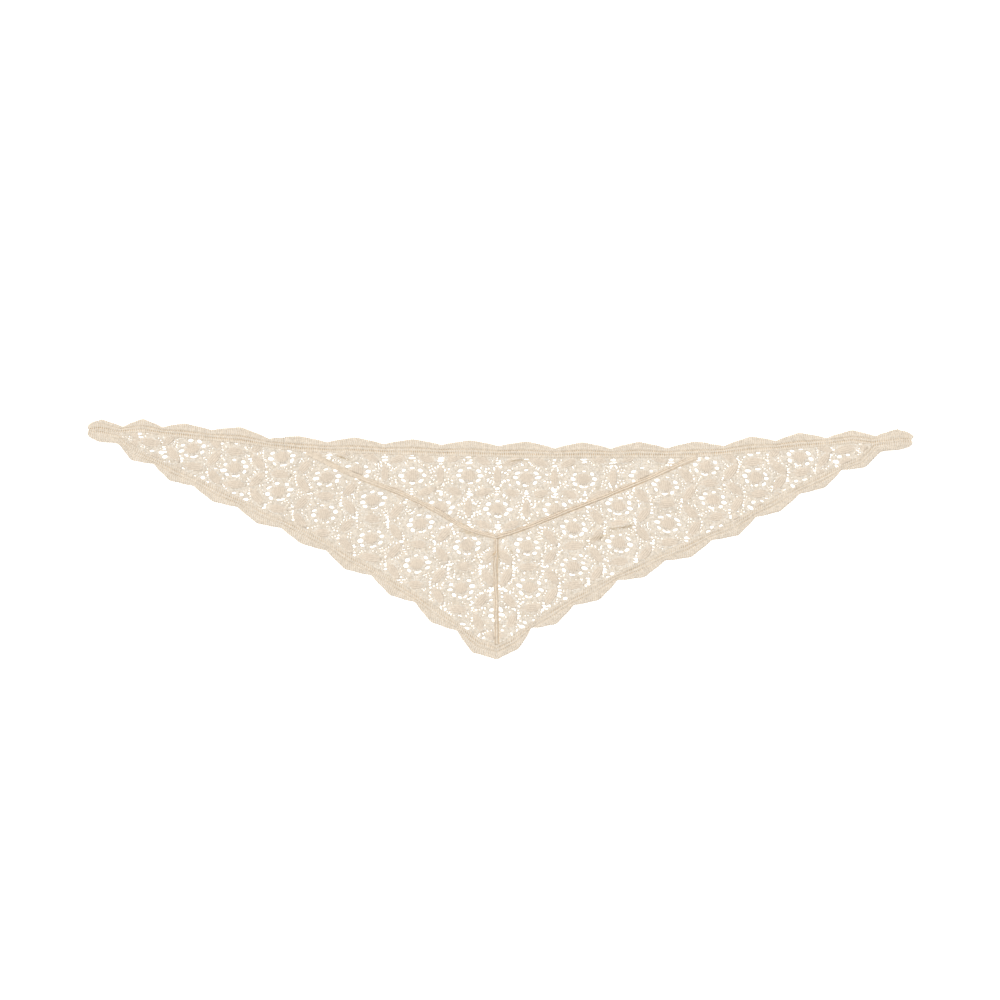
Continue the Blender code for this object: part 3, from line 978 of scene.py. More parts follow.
@dataclass(kw_only=True)
class LaceNet(Openwork):
    """Openwork as a sheet of net, with its openings cut through."""

    step: float = 1.12  # spacing of the net's points
    snap: float = 0.3  # points this near an edge, in steps, move on to it
    narrow: float = 0.9  # openings of less half-height, in steps, could slip between points
    thickness: float = 1.0
    underside: float = 0.1  # height of the net's underside
    rim: float = 1.3  # a thread's rounding runs this far in from an opening
    rim_half: float = 0.3  # half the rim's height, as a share of the thickness
    embed: float = 0.35  # the lace's edge goes this far under the seam or hem
    reach: int = 6  # rows and columns of points to each side in which an opening matters
    deepest: float = 4.0  # distances from openings are measured up to this
    wale: float = 5.2  # spacing of the knitted wales
    purl: float = 0.04  # height of the courses and wales
    round_pitch: float = 2.7  # spacing of the rows that run round leaves and flowers
    round_purl: float = 0.06  # height of those rows

    def net(self) -> Surface:
        """The lace as one sheet with its openings cut out.

        Formula: on a lattice of equilateral triangles, cloth is where the distance d to the
        nearest opening or edge is positive.  A lattice point very near an edge moves on to it,
        down the slope of d, and triangles that the edge still crosses are cut there.

        Returns:
            A closed sheet with rounded rims.
        """
        lattice = PointLattice.over(self.edges, self.step)
        points = lattice.points()
        holes = self.on_lattice(self.openings(), lattice)
        depth = self.cloth_depth(points, holes, lattice)
        nudge, least_steep = 0.15, 0.3  # the second keeps each point's move short
        slope = np.stack(
            [self.cloth_depth(points, holes, lattice, way) - depth
             for way in ((nudge, 0.0), (0.0, nudge))],
            axis=1,
        ) / nudge
        steep = np.maximum(np.sum(slope**2, axis=1), least_steep)
        snapped = np.abs(depth) < self.snap * self.step * np.sqrt(steep)
        points[snapped] -= (depth[:, None] * slope / steep[:, None])[snapped]
        depth[snapped] = 0
        return self.thickened(*cut_at_zero(points, depth, snapped, lattice.faces()))

    def on_lattice(self, holes: Openings, lattice: PointLattice) -> Openings:
        """Moves each narrow opening on to the nearest lattice point, which it might slip past.

        Args:
            holes: The panel's openings.
            lattice: The lattice.
        Returns:
            The openings, the narrow ones moved.
        """
        narrow = holes.half_high < self.narrow * self.step
        nearest = lattice.nearest(holes.middle)
        return holes._replace(middle=np.where(narrow[:, None], nearest, holes.middle))

    def cloth_depth(
        self, points: Array, holes: Openings, lattice: PointLattice,
        nudge: tuple[float, float] = (0.0, 0.0),
    ) -> Array:
        """Distance of each lattice point from the nearest opening or edge, negative off the cloth.

        Args:
            points: (n, 2) the lattice's points in mm.
            holes: The panel's openings.
            lattice: The lattice that numbers the points.
            nudge: How far every point is moved first.
        Returns:
            (n,) mm.
        """
        moved = points + nudge
        depth = np.full(len(points), self.deepest)
        index = lattice.around(holes.middle, self.reach)
        offset = moved[index] - holes.middle[:, None, None]
        pick = np.arange(len(index))[:, None, None]
        away = ellipse_depth(offset[..., 0], offset[..., 1], holes, pick)
        np.minimum.at(depth, index, away)
        depth = np.maximum(depth, self.solid_depth(moved))
        return np.minimum(depth, inside_by(moved, self.edges) + self.embed)

    def thickened(self, points: Array, depth: Array, faces: Array) -> Surface:
        """A flat sheet given its two sides and the wall round its openings.

        Formula: half the sheet's height rises as a quarter circle from the rim; the upper side
        carries small cosine waves along the courses, across the wales and round the leaves and
        flowers.

        Args:
            points: (n, 2) mm.
            depth: (n,) mm from the nearest opening.
            faces: (f, 3) indices, anticlockwise from above.
        Returns:
            The closed sheet.
        """
        count = len(points)
        inward = np.clip(depth / self.rim, 0, 1)
        rounding = np.sqrt(1 - (1 - inward) ** 2)
        half = self.thickness * (self.rim_half + (0.5 - self.rim_half) * rounding)
        turn = math.radians(self.tilt)
        across = points[:, 0] * math.sin(turn) + points[:, 1] * math.cos(turn)
        along = points[:, 0] * math.cos(turn) - points[:, 1] * math.sin(turn)
        purl = self.purl * np.cos(2 * np.pi * across / self.course) + self.purl * np.sin(
            2 * np.pi * along / self.wale + np.pi * np.round(across / self.course))
        outside = np.maximum(-self.solid_depth(points), 0)
        purl += self.round_purl * np.cos(2 * np.pi * outside / self.round_pitch)
        middle = self.thickness / 2 + self.underside
        heights = np.concatenate([middle + half + purl * inward, middle - half])
        cells = np.column_stack([np.tile(points, (2, 1)), heights])
        rim_tone, thread_gain, purl_gain = 0.52, 0.17, 1.5  # a rim lies in half shade
        # Painted shade: the rims of openings and the troughs of the courses, wales and rounds are
        # painted darker, on both sides of the sheet.
        painted_shading = np.tile(rim_tone + (thread_gain + purl_gain * purl) * inward, 2)
        start, end = faces.ravel(), np.roll(faces, -1, axis=1).ravel()
        forward, backward = start * count + end, end * count + start
        lone = ~np.isin(forward, backward)
        start, end = start[lone], end[lone]
        walls = np.stack([start + count, end + count, end, start], axis=1)
        place = np.tile(points, (2, 1))
        sides = np.concatenate([faces, faces[:, ::-1] + count])
        return Surface(cells, painted_shading, [Patch(sides, place[sides]), Patch(walls, place[walls])])


def cut_at_zero(
    points: Array, depth: Array, snapped: Array, faces: Array
) -> tuple[Array, Array, Array]:
    """Keeps the part of a triangle mesh where depth is not negative.

    Formula: an edge from depth p to depth −q is cut at p / (p + q) of its length; a triangle
    with two kept corners leaves a quad, one with one kept corner a smaller triangle.

    Args:
        points: (n, 2) mm.
        depth: (n,) mm.
        snapped: (n,) whether a point already sits on the edge of the cloth.
        faces: (f, 3) indices.
    Returns:
        Points, depths and faces of what is kept.
    """
    kept = (depth >= 0) | snapped
    amount = kept[faces].sum(axis=1)
    whole = faces[amount == 3]
    two, one = faces[amount == 2], faces[amount == 1]
    out = np.argmin(kept[two], axis=1)
    two = two[np.arange(len(two))[:, None], (out[:, None] + np.arange(3)) % 3]
    inner = np.argmax(kept[one], axis=1)
    one = one[np.arange(len(one))[:, None], (inner[:, None] + np.arange(3)) % 3]
    starts = np.concatenate([two[:, 1], two[:, 2], one[:, 0], one[:, 0]])
    ends = np.concatenate([two[:, 0], two[:, 0], one[:, 1], one[:, 2]])
    keys, which = np.unique(starts * len(points) + ends, return_inverse=True)
    start, end = keys // len(points), keys % len(points)
    share = depth[start] / np.maximum(depth[start] - depth[end], 1e-9)
    crossing = points[start] + (points[end] - points[start]) * share[:, None]
    number = np.where(snapped[start], start, len(points) + np.arange(len(keys)))[which]
    a, b, c, d = np.split(number, np.cumsum([len(two), len(two), len(one)]))
    made = np.concatenate([
        whole,
        np.stack([two[:, 1], two[:, 2], b], axis=1),
        np.stack([two[:, 1], b, a], axis=1),
        np.stack([one[:, 0], c, d], axis=1),
    ])
    distinct = (made[:, 0] != made[:, 1]) & (made[:, 1] != made[:, 2]) & (made[:, 2] != made[:, 0])
    used, faces = np.unique(made[distinct], return_inverse=True)
    points = np.concatenate([points, crossing])[used]
    depth = np.concatenate([np.maximum(depth, 0), np.zeros(len(crossing))])[used]
    return points, depth, faces.reshape(-1, 3)


class RibStyle(NamedTuple):
    """How one kind of raised rib is worked."""

    number: int  # ribs side by side in a leaf or a flower's centre
    fill: float  # share of the width that their middle lines take
    reach: float  # how far each way a rib runs, as a share
    places: int  # points along a rib
    rise: float  # height of a rib's lowest stretch, mm
    crown: float  # how much higher the fullest stretch is
    least_half: float  # half its width at the ends, mm
    overlap: float  # how much further its half-width goes, as a share of the spacing
    half_height: float
    plump: float  # how much that gains in the middle


@dataclass(kw_only=True)
class FlowerLace(LaceNet):
    """One lace panel: its net, and the raised stitches of its leaves and flower centres."""

    flat: tuple[float, float]  # the cut's own length and depth
    leaf_rib: RibStyle = RibStyle(4, 0.86, 0.97, 8, 0.82, 0.14, 0.3, 1.3, 0.33, 0.08)
    centre_rib: RibStyle = RibStyle(8, 0.93, 1.0, 6, 0.8, 0.15, 0.35, 1.5, 0.34, 0.1)
    centre_fill: float = 0.97  # share of a centre's height that its ribs fill
    rib_hem: float = 0.2  # ribs stop this far inside the panel
    tries: int = 25  # places tried along a rib, to find where it leaves the panel
    shortest: float = 0.25  # ribs cut to less than this share of half their length are left out
    leaf_swell: float = 0.06  # standard deviation of a leaf's length, as a share
    leaf_bend: float = 0.5  # the same of how far a leaf bends, mm
    centre_swell: float = 0.05  # the same of the length of a centre's rib, as a share
    centre_lean: float = 0.03  # the same of how far a centre's ribs lean, as a share

    def clipped(
        self, path_at: Callable[[Array], Array], count: int, style: RibStyle
    ) -> tuple[Array, Array]:
        """The stretch of each rib that lies inside the panel.

        Args:
            path_at: Gives (n, m, 2) points for (n, m) shares along n ribs.
            count: How many ribs there are.
            style: How they are worked.
        Returns:
            (n, places) shares along each rib, and (n,) whether it is long enough to show.
        """
        tried = -style.reach + 2 * style.reach * np.linspace(0, 1, self.tries)
        points = path_at(np.tile(tried, (count, 1)))
        inside = inside_by(points.reshape(-1, 2), self.edges).reshape(count, -1) > self.rib_hem
        shown = inside.any(axis=1)
        low = np.where(shown, tried[inside.argmax(axis=1)], 0)
        high = np.where(shown, tried[len(tried) - 1 - inside[:, ::-1].argmax(axis=1)], 0)
        share = low[:, None] + (high - low)[:, None] * np.linspace(0, 1, style.places)
        return share, high - low > self.shortest

    def leaf_strands(self) -> Surface:
        """Satin ribs that run from tip to tip of every leaf.

        Formula: at share s from −1 to 1, rib k, also from −1 to 1, lies k · half-width ·
        cos^bluntness(quarter turns · s) off the leaf's middle line, and is as wide as its share
        of the leaf.  Its crown is cos(quarter turns · s) · (1 − 0.6 k²) high.

        Returns:
            The ribs' surface.
        """
        middle, way = self.leaves()
        style, count = self.leaf_rib, len(middle)
        swell = 1 + self.random.normal(0, self.leaf_swell, count)
        bend = self.random.normal(0, self.leaf_bend, count)
        leaf = np.repeat(np.arange(count), style.number)
        rib = np.tile((np.arange(style.number) + 0.5) / style.number * 2 - 1, count)
        side = np.stack([-way[:, 1], way[:, 0]], axis=1)

        def path_at(share: Array) -> Array:
            """Level points on the ribs.

            Args:
                share: (ribs, m) shares along them.
            Returns:
                (ribs, m, 2) mm.
            """
            wide = self.leaf_wide * np.cos(np.pi / 2 * share) ** self.leaf_bluntness
            across = rib[:, None] * wide * style.fill + bend[leaf][:, None] * (1 - share**2)
            along = share * (self.leaf_half * swell[leaf])[:, None]
            return (middle[leaf][:, None] + along[..., None] * way[leaf][:, None]
                    + across[..., None] * side[leaf][:, None])

        share, kept = self.clipped(path_at, len(leaf), style)
        body = np.cos(np.pi / 2 * share)
        height = style.rise + style.crown * body * (1 - 0.6 * rib[:, None] ** 2)
        paths = np.concatenate([path_at(share), height[..., None]], axis=-1)
        spacing = self.leaf_wide * body**self.leaf_bluntness / style.number
        half_width = style.least_half + spacing * style.overlap
        half_height = style.half_height + style.plump * body
        return strands(paths[kept], half_width[kept], half_height[kept])

    def centre_strands(self) -> Surface:
        """Ribs that fill every flower's centre, square to the courses.

        Formula: rib k runs √(1 − k²) of the centre's half-height each way.  At share s its crown
        is 1 − k² − s² / 2 high, and it narrows by √(1 − s⁴) to 0.35 of its width.

        Returns:
            The ribs' surface.
        """
        middle = self.flowers()
        style, count = self.centre_rib, len(middle)
        flower = np.repeat(np.arange(count), style.number)
        rib = np.tile((np.arange(style.number) + 0.5) / style.number * 2 - 1, count)
        reach = np.sqrt(1 - rib**2) * self.centre_high * self.centre_fill
        reach *= 1 + self.random.normal(0, self.centre_swell, len(reach))
        lean = self.random.normal(0, self.centre_lean, count)[flower]

        def path_at(share: Array) -> Array:
            """Level points on the ribs.

            Args:
                share: (ribs, m) shares along them.
            Returns:
                (ribs, m, 2) mm.
            """
            across = share * reach[:, None]
            along = rib[:, None] * self.centre_wide * style.fill + lean[:, None] * across
            return self.turned(along, across, middle[flower][:, None])

        share, kept = self.clipped(path_at, len(flower), style)
        body = np.sqrt(np.clip(1 - share**4, 0, 1))
        dome = 1 - rib[:, None] ** 2 - 0.5 * share**2
        height = style.rise + style.crown * dome
        paths = np.concatenate([path_at(share), height[..., None]], axis=-1)
        spacing = self.centre_wide / style.number
        half_width = style.least_half + spacing * style.overlap * (0.35 + 0.65 * body)
        half_height = style.half_height + style.plump * body
        return strands(paths[kept], half_width[kept], half_height[kept])

    def build(self, net: bpy.types.Material, rib: bpy.types.Material) -> bpy.types.Object:
        """Args:
            net: The finish of the net.
            rib: The finish of the raised stitches.
        Returns:
            The piece.
        """
        surface = joined([self.net(), self.leaf_strands(), self.centre_strands()])
        piece = make_piece(self.node.replace("panel", "lace"), surface, [net, rib])
        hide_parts(self.node)
        declare_sheet(self.node)
        return piece


def declare_sheet(node: str) -> None:
    """Reads the underside of a node, and does nothing more with it.

    Args:
        node: The CAD node whose underside has the cut's area.
    """
    level = underside(node)


# ---------------------------------------------------------------------------- runs of stitches


def smooth_through(points: Array, at: Array) -> Array:
    """Points on a smooth curve through rows of points.

    Formula: the Catmull-Rom cubic of each run, from the two points at its ends and the two
    beyond them.

    Args:
        points: (n, k) rows.
        at: (m,) places, in rows from the first.
    Returns:
        (m, k).
    """
    padded = np.concatenate([2 * points[:1] - points[1:2], points, 2 * points[-1:] - points[-2:-1]])
    run = np.clip(at.astype(int), 0, len(points) - 2)
    t = (at - run)[:, None]
    p0, p1, p2, p3 = (padded[run + k] for k in range(4))
    return 0.5 * (2 * p1 + (p2 - p0) * t + (2 * p0 - 5 * p1 + 4 * p2 - p3) * t**2
                  + (3 * p1 - p0 - 3 * p2 + p3) * t**3)


def bump(x: Array, middle: float, half_width: float) -> Array:
    """A rounded ridge: cos² across it, and 0 past its half-width."""
    return np.cos(np.pi / 2 * np.clip((x - middle) / half_width, -1, 1)) ** 2


def on_table(level: Array) -> Array:
    """Points that lie at height 0: (..., 3) for (..., 2) plan ones."""
    return np.concatenate([level, np.zeros(level.shape[:-1] + (1,))], axis=-1)


def tube(ring: Array, painted_shading: Array, place: Array, clockwise: bool) -> Surface:
    """A closed tube through rings of points, with a flat cap at each end.

    Args:
        ring: (stations, around, 3) mm.
        painted_shading: (stations, around).
        place: (stations, around, 2) each point's place in the thread pattern, mm.
        clockwise: Whether the rings turn clockwise, seen from the first station.
    Returns:
        The tube, with its faces turned outward.
    """
    stations, around = ring.shape[:2]
    index = np.arange(stations * around).reshape(stations, around)
    index = np.concatenate([index, index[:, :1]], axis=1)
    quads = np.stack([index[:-1, :-1], index[:-1, 1:], index[1:, 1:], index[1:, :-1]], -1)
    quads = quads.reshape(-1, 4)
    caps = np.stack([index[0, :-1][::-1], index[-1, :-1]])
    if not clockwise:
        quads, caps = quads[:, ::-1], caps[:, ::-1]
    place = place.reshape(-1, 2)
    patches = [Patch(quads, place[quads]), Patch(caps, place[caps])]
    return Surface(ring.reshape(-1, 3), painted_shading.ravel(), patches)


# ---------------------------------------------------------------------------- scalloped border


@dataclass
class ScallopedBorder:
    """One length of crochet border.

    A cord runs along the hem, then come two rows of ladder stitch between cords, and a dense
    scalloped band.
    """

    node: str
    flat: tuple[float, float]  # the cut's own length and depth
    step: float = 0.82  # spacing of points along the border
    across: int = 38  # points across it
    usual_width: float = 17.5  # where it is this wide, the rows lie at the distances below
    ladder_near: float = 4.3  # the ladder rows' distances from the hem
    ladder_far: float = 8.7
    ladder_half: float = 1.6
    ladder_depth: float = 1.3
    ladder_closes: float = 0.28  # share of that depth which comes and goes along the border
    rung: float = 1.3  # height of a ladder row's rungs above its bottom, as a share of its depth
    lean: float = 0.15  # how far the posts lean along the border, as a share of their length
    wander: float = 0.5  # how far they wander off that line
    sway: float = 0.55  # how far the rows swing out and in with the scallops
    cord_rows: tuple[float, ...] = (1.1, 6.6, 11.6)
    cord_half: float = 1.25
    cord: float = 0.2  # height of the cords above the posts
    cord_links: float = 0.28  # share of that height by which their chained links dip
    band_start: float = 12.6  # the dense band's distance from the hem
    band_pitch: float = 2.4  # ribs of the dense band, parallel to its edge
    band_rib: float = 0.14  # height of those ribs
    band_sunk: float = 0.02  # how much lower the band is between them
    body: float = 0.9  # height between posts
    post: float = 0.7  # height of the posts above that
    rim: float = 0.35  # height of the scalloped edge's rim, where rounding off starts
    rounding: float = 1.3  # the scalloped edge is rounded off over this distance
    hem_rounding: float = 2.2  # and the hem, less, over this one
    picot: float = 0.8  # how far each stitch bulges out along the scalloped edge
    picot_inset: float = 0.45  # how far in the stitches' ends lie there
    embed: float = 0.3  # the hem reaches this far over the lace
    scallop: float = 74.0  # length of one scallop
    fullness: float = 0.8  # below 1: scallops bulge, and the notches between them are sharp
    crispness: float = 0.04  # how straight the flanks of the scallops are
    tips: tuple[float, float] = (-1e3, 1e4)  # where the scarf's tips are, in distance along it
    tip_spread: float = 32.0  # the ladder rows fade out over this distance to a tip
    tip_shift: float = 2.0  # how much nearer the hem the inner one runs there

    def rails(self) -> tuple[Array, Array]:
        """The hem and the scalloped edge, read from the CAD node.

        The hem is found from the node's highest crest.  Where a slanting cut ends the border on
        the left, one of the two has stations that the other lacks, right after its first.

        Returns:
            Two (stations, 2) arrays from left to right, in mm.
        """
        points = node_triangles(self.node).reshape(-1, 3)
        rails = level_points(points, HEM_CREST), level_points(points, EDGE_TOP)
        count = min(len(rail) for rail in rails)
        crest, outer = (np.concatenate([rail[:1], rail[1 - count :]]) for rail in rails)
        return crest - (outer - crest) * CREST_SHARE / (1 - CREST_SHARE), outer

    def height(self, hem: Array, width: Array, along: Array) -> Array:
        """Height of the stitches.

        Formula: a body height and cos² posts that stand on the hem, a little aslant and
        wandering, plus cos² ridges for the cords (chained: |sin| along them), less cos² troughs
        for the ladder rows, where the posts turn into rungs: cos² along, half a stitch apart in
        the two rows, more open in some places than in others.  All rows swing with the scallops.
        The dense band has faint cosine ribs parallel to its edge, and hem and edge are rounded
        off.  At the scarf's tips the outer ladder row fades out, as a bell curve.  Waves of
        unlike lengths keep what comes and goes from repeating.

        Args:
            hem: Distance from the hem at each point.
            width: The border's width there.
            along: Distance along the border.
        Returns:
            Heights in mm, shaped like `hem`.
        """
        zone = hem / (1 + self.sway * (width / self.usual_width - 1))
        edge = width - hem
        closing = self.ladder_closes * np.sin(along / 23 + 1.3) * np.sin(along / 9.1)
        showing = 1 - self.ladder_closes + closing
        links = np.abs(np.sin(np.pi * along / STITCH + 0.6 * np.sin(zone)))
        chain = 1 - self.cord_links + self.cord_links * links
        leant = along + self.lean * zone + self.wander * np.sin(zone / 2 + along / 19)
        posts = np.cos(np.pi * leant / STITCH) ** 2
        height = self.body + self.post * posts
        for middle in self.cord_rows:
            height += self.cord * bump(zone, middle, self.cord_half) * chain
        to_tip = np.minimum(along - self.tips[0], self.tips[1] - along)
        tip = np.exp(-((to_tip / self.tip_spread) ** 2))
        near = self.ladder_near - self.tip_shift * tip
        for middle, shift, share in ((near, 0.0, 1.0), (self.ladder_far, 0.5, 1 - tip)):
            rung = np.cos(np.pi * leant / STITCH + np.pi * shift) ** 2
            row = share * bump(zone, middle, self.ladder_half)
            height += row * self.ladder_depth * showing * (self.rung * rung - 1.0)
            height += row * self.post * (0.5 - posts)
        band = np.clip(zone - self.band_start, 0, 1)
        ribs = 0.5 + 0.5 * np.cos(2 * np.pi * edge / self.band_pitch)
        height += band * (self.band_rib * ribs - self.band_sunk)
        inward = np.clip(edge / self.rounding, 0, 1)
        rounded = np.sqrt(np.clip(1 - (1 - inward) ** 2, 0, 1))
        rounded *= 0.75 + 0.25 * np.sin(np.pi / 2 * np.clip(hem / self.hem_rounding, 0, 1))
        return self.rim + (height - self.rim) * (0.15 + 0.85 * rounded)

    def notched(self, width: Array) -> Array:
        """Draws the notches between the scallops sharper.

        Formula: within half a scallop either way, a share s of the way from the least width to
        the greatest becomes s + crispness · sin(full turns · s), to the power of the fullness.

        Args:
            width: The border's width at each station, in mm.
        Returns:
            The widths, reshaped between the same least and greatest ones.
        """
        reach = int(self.scallop / 2 / self.step)
        padded = np.pad(width, reach, mode="edge")
        near = np.lib.stride_tricks.sliding_window_view(padded, 2 * reach + 1)
        least, most = near.min(axis=1), near.max(axis=1)
        least_swing = 0.5  # stretches that swing less stay nearly as they are
        share = (width - least) / np.maximum(most - least, least_swing)
        share = np.clip(share + self.crispness * np.sin(2 * np.pi * share), 0, 1)
        return least + (most - least) * share**self.fullness

    def surface(self) -> Surface:
        """The border's mesh: its stitches over a flat foot.

        Formula: at each station along the smooth hem, points at equal shares of the way to the
        scalloped edge, which bulges by |sin| at each stitch.

        Returns:
            A closed tube.
        """
        inner, outer = self.rails()
        middle = (inner + outer) / 2
        travelled = distances(middle)
        steps = max(int(travelled[-1] / self.step), 8)
        along = np.linspace(0, travelled[-1], steps + 1)
        at = np.interp(along, travelled, np.arange(len(middle)))
        inner = smooth_through(inner, at)
        span = smooth_through(outer, at) - inner
        unit = span / np.linalg.norm(span, axis=1, keepdims=True)
        width = self.notched(np.linalg.norm(span, axis=1))
        picot = self.picot * np.abs(np.sin(np.pi * along / STITCH)) - self.picot_inset
        outer = inner + unit * (width + picot)[:, None]
        inner = inner - unit * self.embed
        share = np.linspace(0, 1, self.across)
        foot_share = np.array([1.0, 0.7, 0.35, 0])
        level, foot = (inner[:, None] + (outer - inner)[:, None] * part[:, None]
                       for part in (share, foot_share))
        hem = share * width[:, None]
        travel, wide = (np.broadcast_to(line[:, None], hem.shape) for line in (along, width))
        height = self.height(hem, wide, travel)
        top = np.concatenate([level, height[..., None]], axis=-1)
        ring = np.concatenate([top, on_table(foot)], axis=1)
        round_it = np.concatenate([hem, hem[:, -len(foot_share) :][:, ::-1]], axis=1)
        place = np.stack([np.broadcast_to(along[:, None], round_it.shape), round_it], axis=-1)
        # Painted shade: the lower a stitch lies, the darker its colour, in full shade at the bottom
        # of a crevice; the foot takes the undersides' painted shading.
        crevice, rise = 0.3, 1.5  # from heights seen as the bottom of a crevice to crests
        painted_shading = np.clip((height - crevice) / rise, 0, 1)
        painted_shading = np.concatenate([painted_shading, np.full(foot.shape[:2], UNDERNEATH)], axis=1)
        (out_x, out_y), (ahead_x, ahead_y) = outer[0] - inner[0], middle[1] - middle[0]
        return tube(ring, painted_shading, place, clockwise=out_x * ahead_y - out_y * ahead_x >= 0)

    def build(self, finish: bpy.types.Material) -> bpy.types.Object:
        """Args:
            finish: The finish of its stitches.
        Returns:
            The piece.
        """
        piece = make_piece(self.node.replace("border", "edging"), self.surface(), [finish])
        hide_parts(self.node)
        declare_sheet(self.node)
        return piece


# ---------------------------------------------------------------------------- seams


@dataclass
class RolledSeam:
    """A seam where two lace panels are turned under and overcast: two rolls and a groove."""

    node: str
    flat: tuple[float, float]  # the length and width of the strip that is rolled up
    rolls: tuple[tuple[float, float], ...] = ((-0.36, 0.52), (0.44, 0.5))  # middles, half-widths
    half_width: float = 3.2
    swell: float = 0.08  # how much wider and narrower it gets along its run, as a share
    crest: float = 2.3
    foot: float = 0.8  # height of the seam's edges
    roundness: float = 0.6  # the smaller, the steeper the rolls' flanks
    weave: float = 0.35  # how far the rolls wander from side to side
    stitch: float = 3.4
    slant: float = 1.3  # how much further back the stitches are at the seam's edges
    loop: float = 0.2  # how much the rolls dip between the stitches, as a share
    along_uneven: float = 0.1  # how much their height varies along the seam, as a share
    across_uneven: float = 0.12  # and how much of it goes from one roll to the other
    flattens: tuple[float, float] = (1e4, 2e4)  # it eases into a strip between these, along it
    strip: float = 0.62  # height of the strip, as a share of the rolls'
    step: float = 0.75
    across: int = 21
    run_on: float = 1.2  # how far each end runs into what it meets

    def line(self) -> Array:
        """The seam's crest line, read from the CAD node's highest points, (n, 2) mm."""
        return level_points(node_triangles(self.node).reshape(-1, 3), SEAM_CREST)

    def surface(self) -> Surface:
        """The seam's mesh: its stitches over a flat foot.

        Formula: along the smooth path, sines of unlike lengths move the rolls from side to side
        and widen and narrow the seam.

        Returns:
            A closed tube.
        """
        line = self.line()
        travelled = distances(line)
        along = np.linspace(0, travelled[-1], int(travelled[-1] / self.step) + 1)
        path = smooth_through(line, np.interp(along, travelled, np.arange(len(line))))
        for end, inner in ((0, 1), (-1, -2)):
            out = path[end] - path[inner]
            path[end] += self.run_on * out / np.linalg.norm(out)
        ahead = np.gradient(path, axis=0)
        side = np.stack([-ahead[:, 1], ahead[:, 0]], axis=1)
        side /= np.linalg.norm(side, axis=1, keepdims=True)
        share = np.linspace(-1, 1, self.across)
        wander = self.weave * (np.sin(along / 13) + 0.7 * np.sin(along / 5.3 + 1))
        half = self.half_width * (1 + self.swell * np.sin(along / 7.1))
        off = share * half[:, None] + wander[:, None] * (1 - share**2)
        level = path[:, None] + side[:, None] * off[..., None]
        top = np.concatenate([level, self.height(along[:, None], share)[..., None]], axis=-1)
        foot_pick = np.array([self.across - 1, self.across // 2, 0])
        ring = np.concatenate([top, on_table(level[:, foot_pick])], axis=1)
        round_it = np.concatenate([share, -share[foot_pick]]) * half.mean()
        place = np.stack(np.broadcast_arrays(along[:, None], round_it), axis=-1)
        # Painted shade: the lower the seam's surface, the darker its colour, in full shade in the
        # groove and at its feet; the foot takes the undersides' painted shading.
        crevice = 0.4  # height that is seen as the bottom of a crevice
        painted_shading = np.clip((top[..., 2] - crevice) / (self.crest - crevice), 0, 1)
        underneath = np.full((len(along), len(foot_pick)), UNDERNEATH)
        painted_shading = np.concatenate([painted_shading, underneath], axis=1)
        return tube(ring, painted_shading, place, clockwise=False)

    def height(self, along: Array, share: Array) -> Array:
        """Height of the stitches.

        Formula: across the seam, a foot plus the higher of two rolls, each cos² to the power of
        the roundness; along it, |sin| of the slanting stitches, and towards one end both rolls
        may ease into a flat strip.

        Args:
            along: (n, 1) distances along the seam.
            share: (m,) shares of its half-width, −1 to 1.
        Returns:
            (n, m) mm.
        """
        turn = np.pi * (along + self.slant * np.abs(share)) / self.stitch
        loops = 1 - self.loop + self.loop * np.abs(np.sin(turn))
        dome = np.max([bump(share, *roll) ** self.roundness for roll in self.rolls], axis=0)
        uneven = 1 + self.along_uneven * np.sin(along / 9.7)
        uneven = uneven - self.across_uneven * share * np.sin(along / 17)
        start, end = self.flattens
        flat = np.clip((along - start) / (end - start), 0, 1)
        dome = dome + (self.strip - dome) * flat
        return self.foot + (self.crest - self.foot) * dome * loops * uneven

    def build(self, finish: bpy.types.Material) -> bpy.types.Object:
        """Args:
            finish: The finish of its stitches.
        Returns:
            The piece.
        """
        piece = make_piece(f"rolled_{self.node}", self.surface(), [finish])
        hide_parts(self.node)
        declare_sheet(self.node)
        return piece


# ---------------------------------------------------------------------------- finishes


def linear(colour: str) -> tuple[float, float, float, float]:
    """An sRGB colour as linear values.

    Formula: s / 12.92 up to 0.04045, and ((s + 0.055) / 1.055)^2.4 above.

    Args:
        colour: The colour, as # and six hex digits.
    Returns:
        Red, green, blue and full alpha.
    """
    shares = [int(colour[k : k + 2], 16) / 255 for k in (1, 3, 5)]
    red, green, blue = (s / 12.92 if s <= 0.04045 else ((s + 0.055) / 1.055) ** 2.4 for s in shares)
    return red, green, blue, 1.0


def add_node(
    tree: bpy.types.NodeTree, kind: str, inputs: dict | None = None, **settings: object
) -> bpy.types.Node:
    """Adds a node with its settings and links.

    Args:
        tree: The node tree that gets it.
        kind: Blender's name for the type of node.
        inputs: Each socket's name or number, with its value or the socket that feeds it.
        **settings: The node's own properties.
    Returns:
        The node.
    """
    made = tree.nodes.new(kind)
    for key, value in settings.items():
        setattr(made, key, value)
    for key, value in (inputs or {}).items():
        if isinstance(value, bpy.types.NodeSocket):
            tree.links.new(value, made.inputs[key])
        else:
            made.inputs[key].default_value = value
    return made


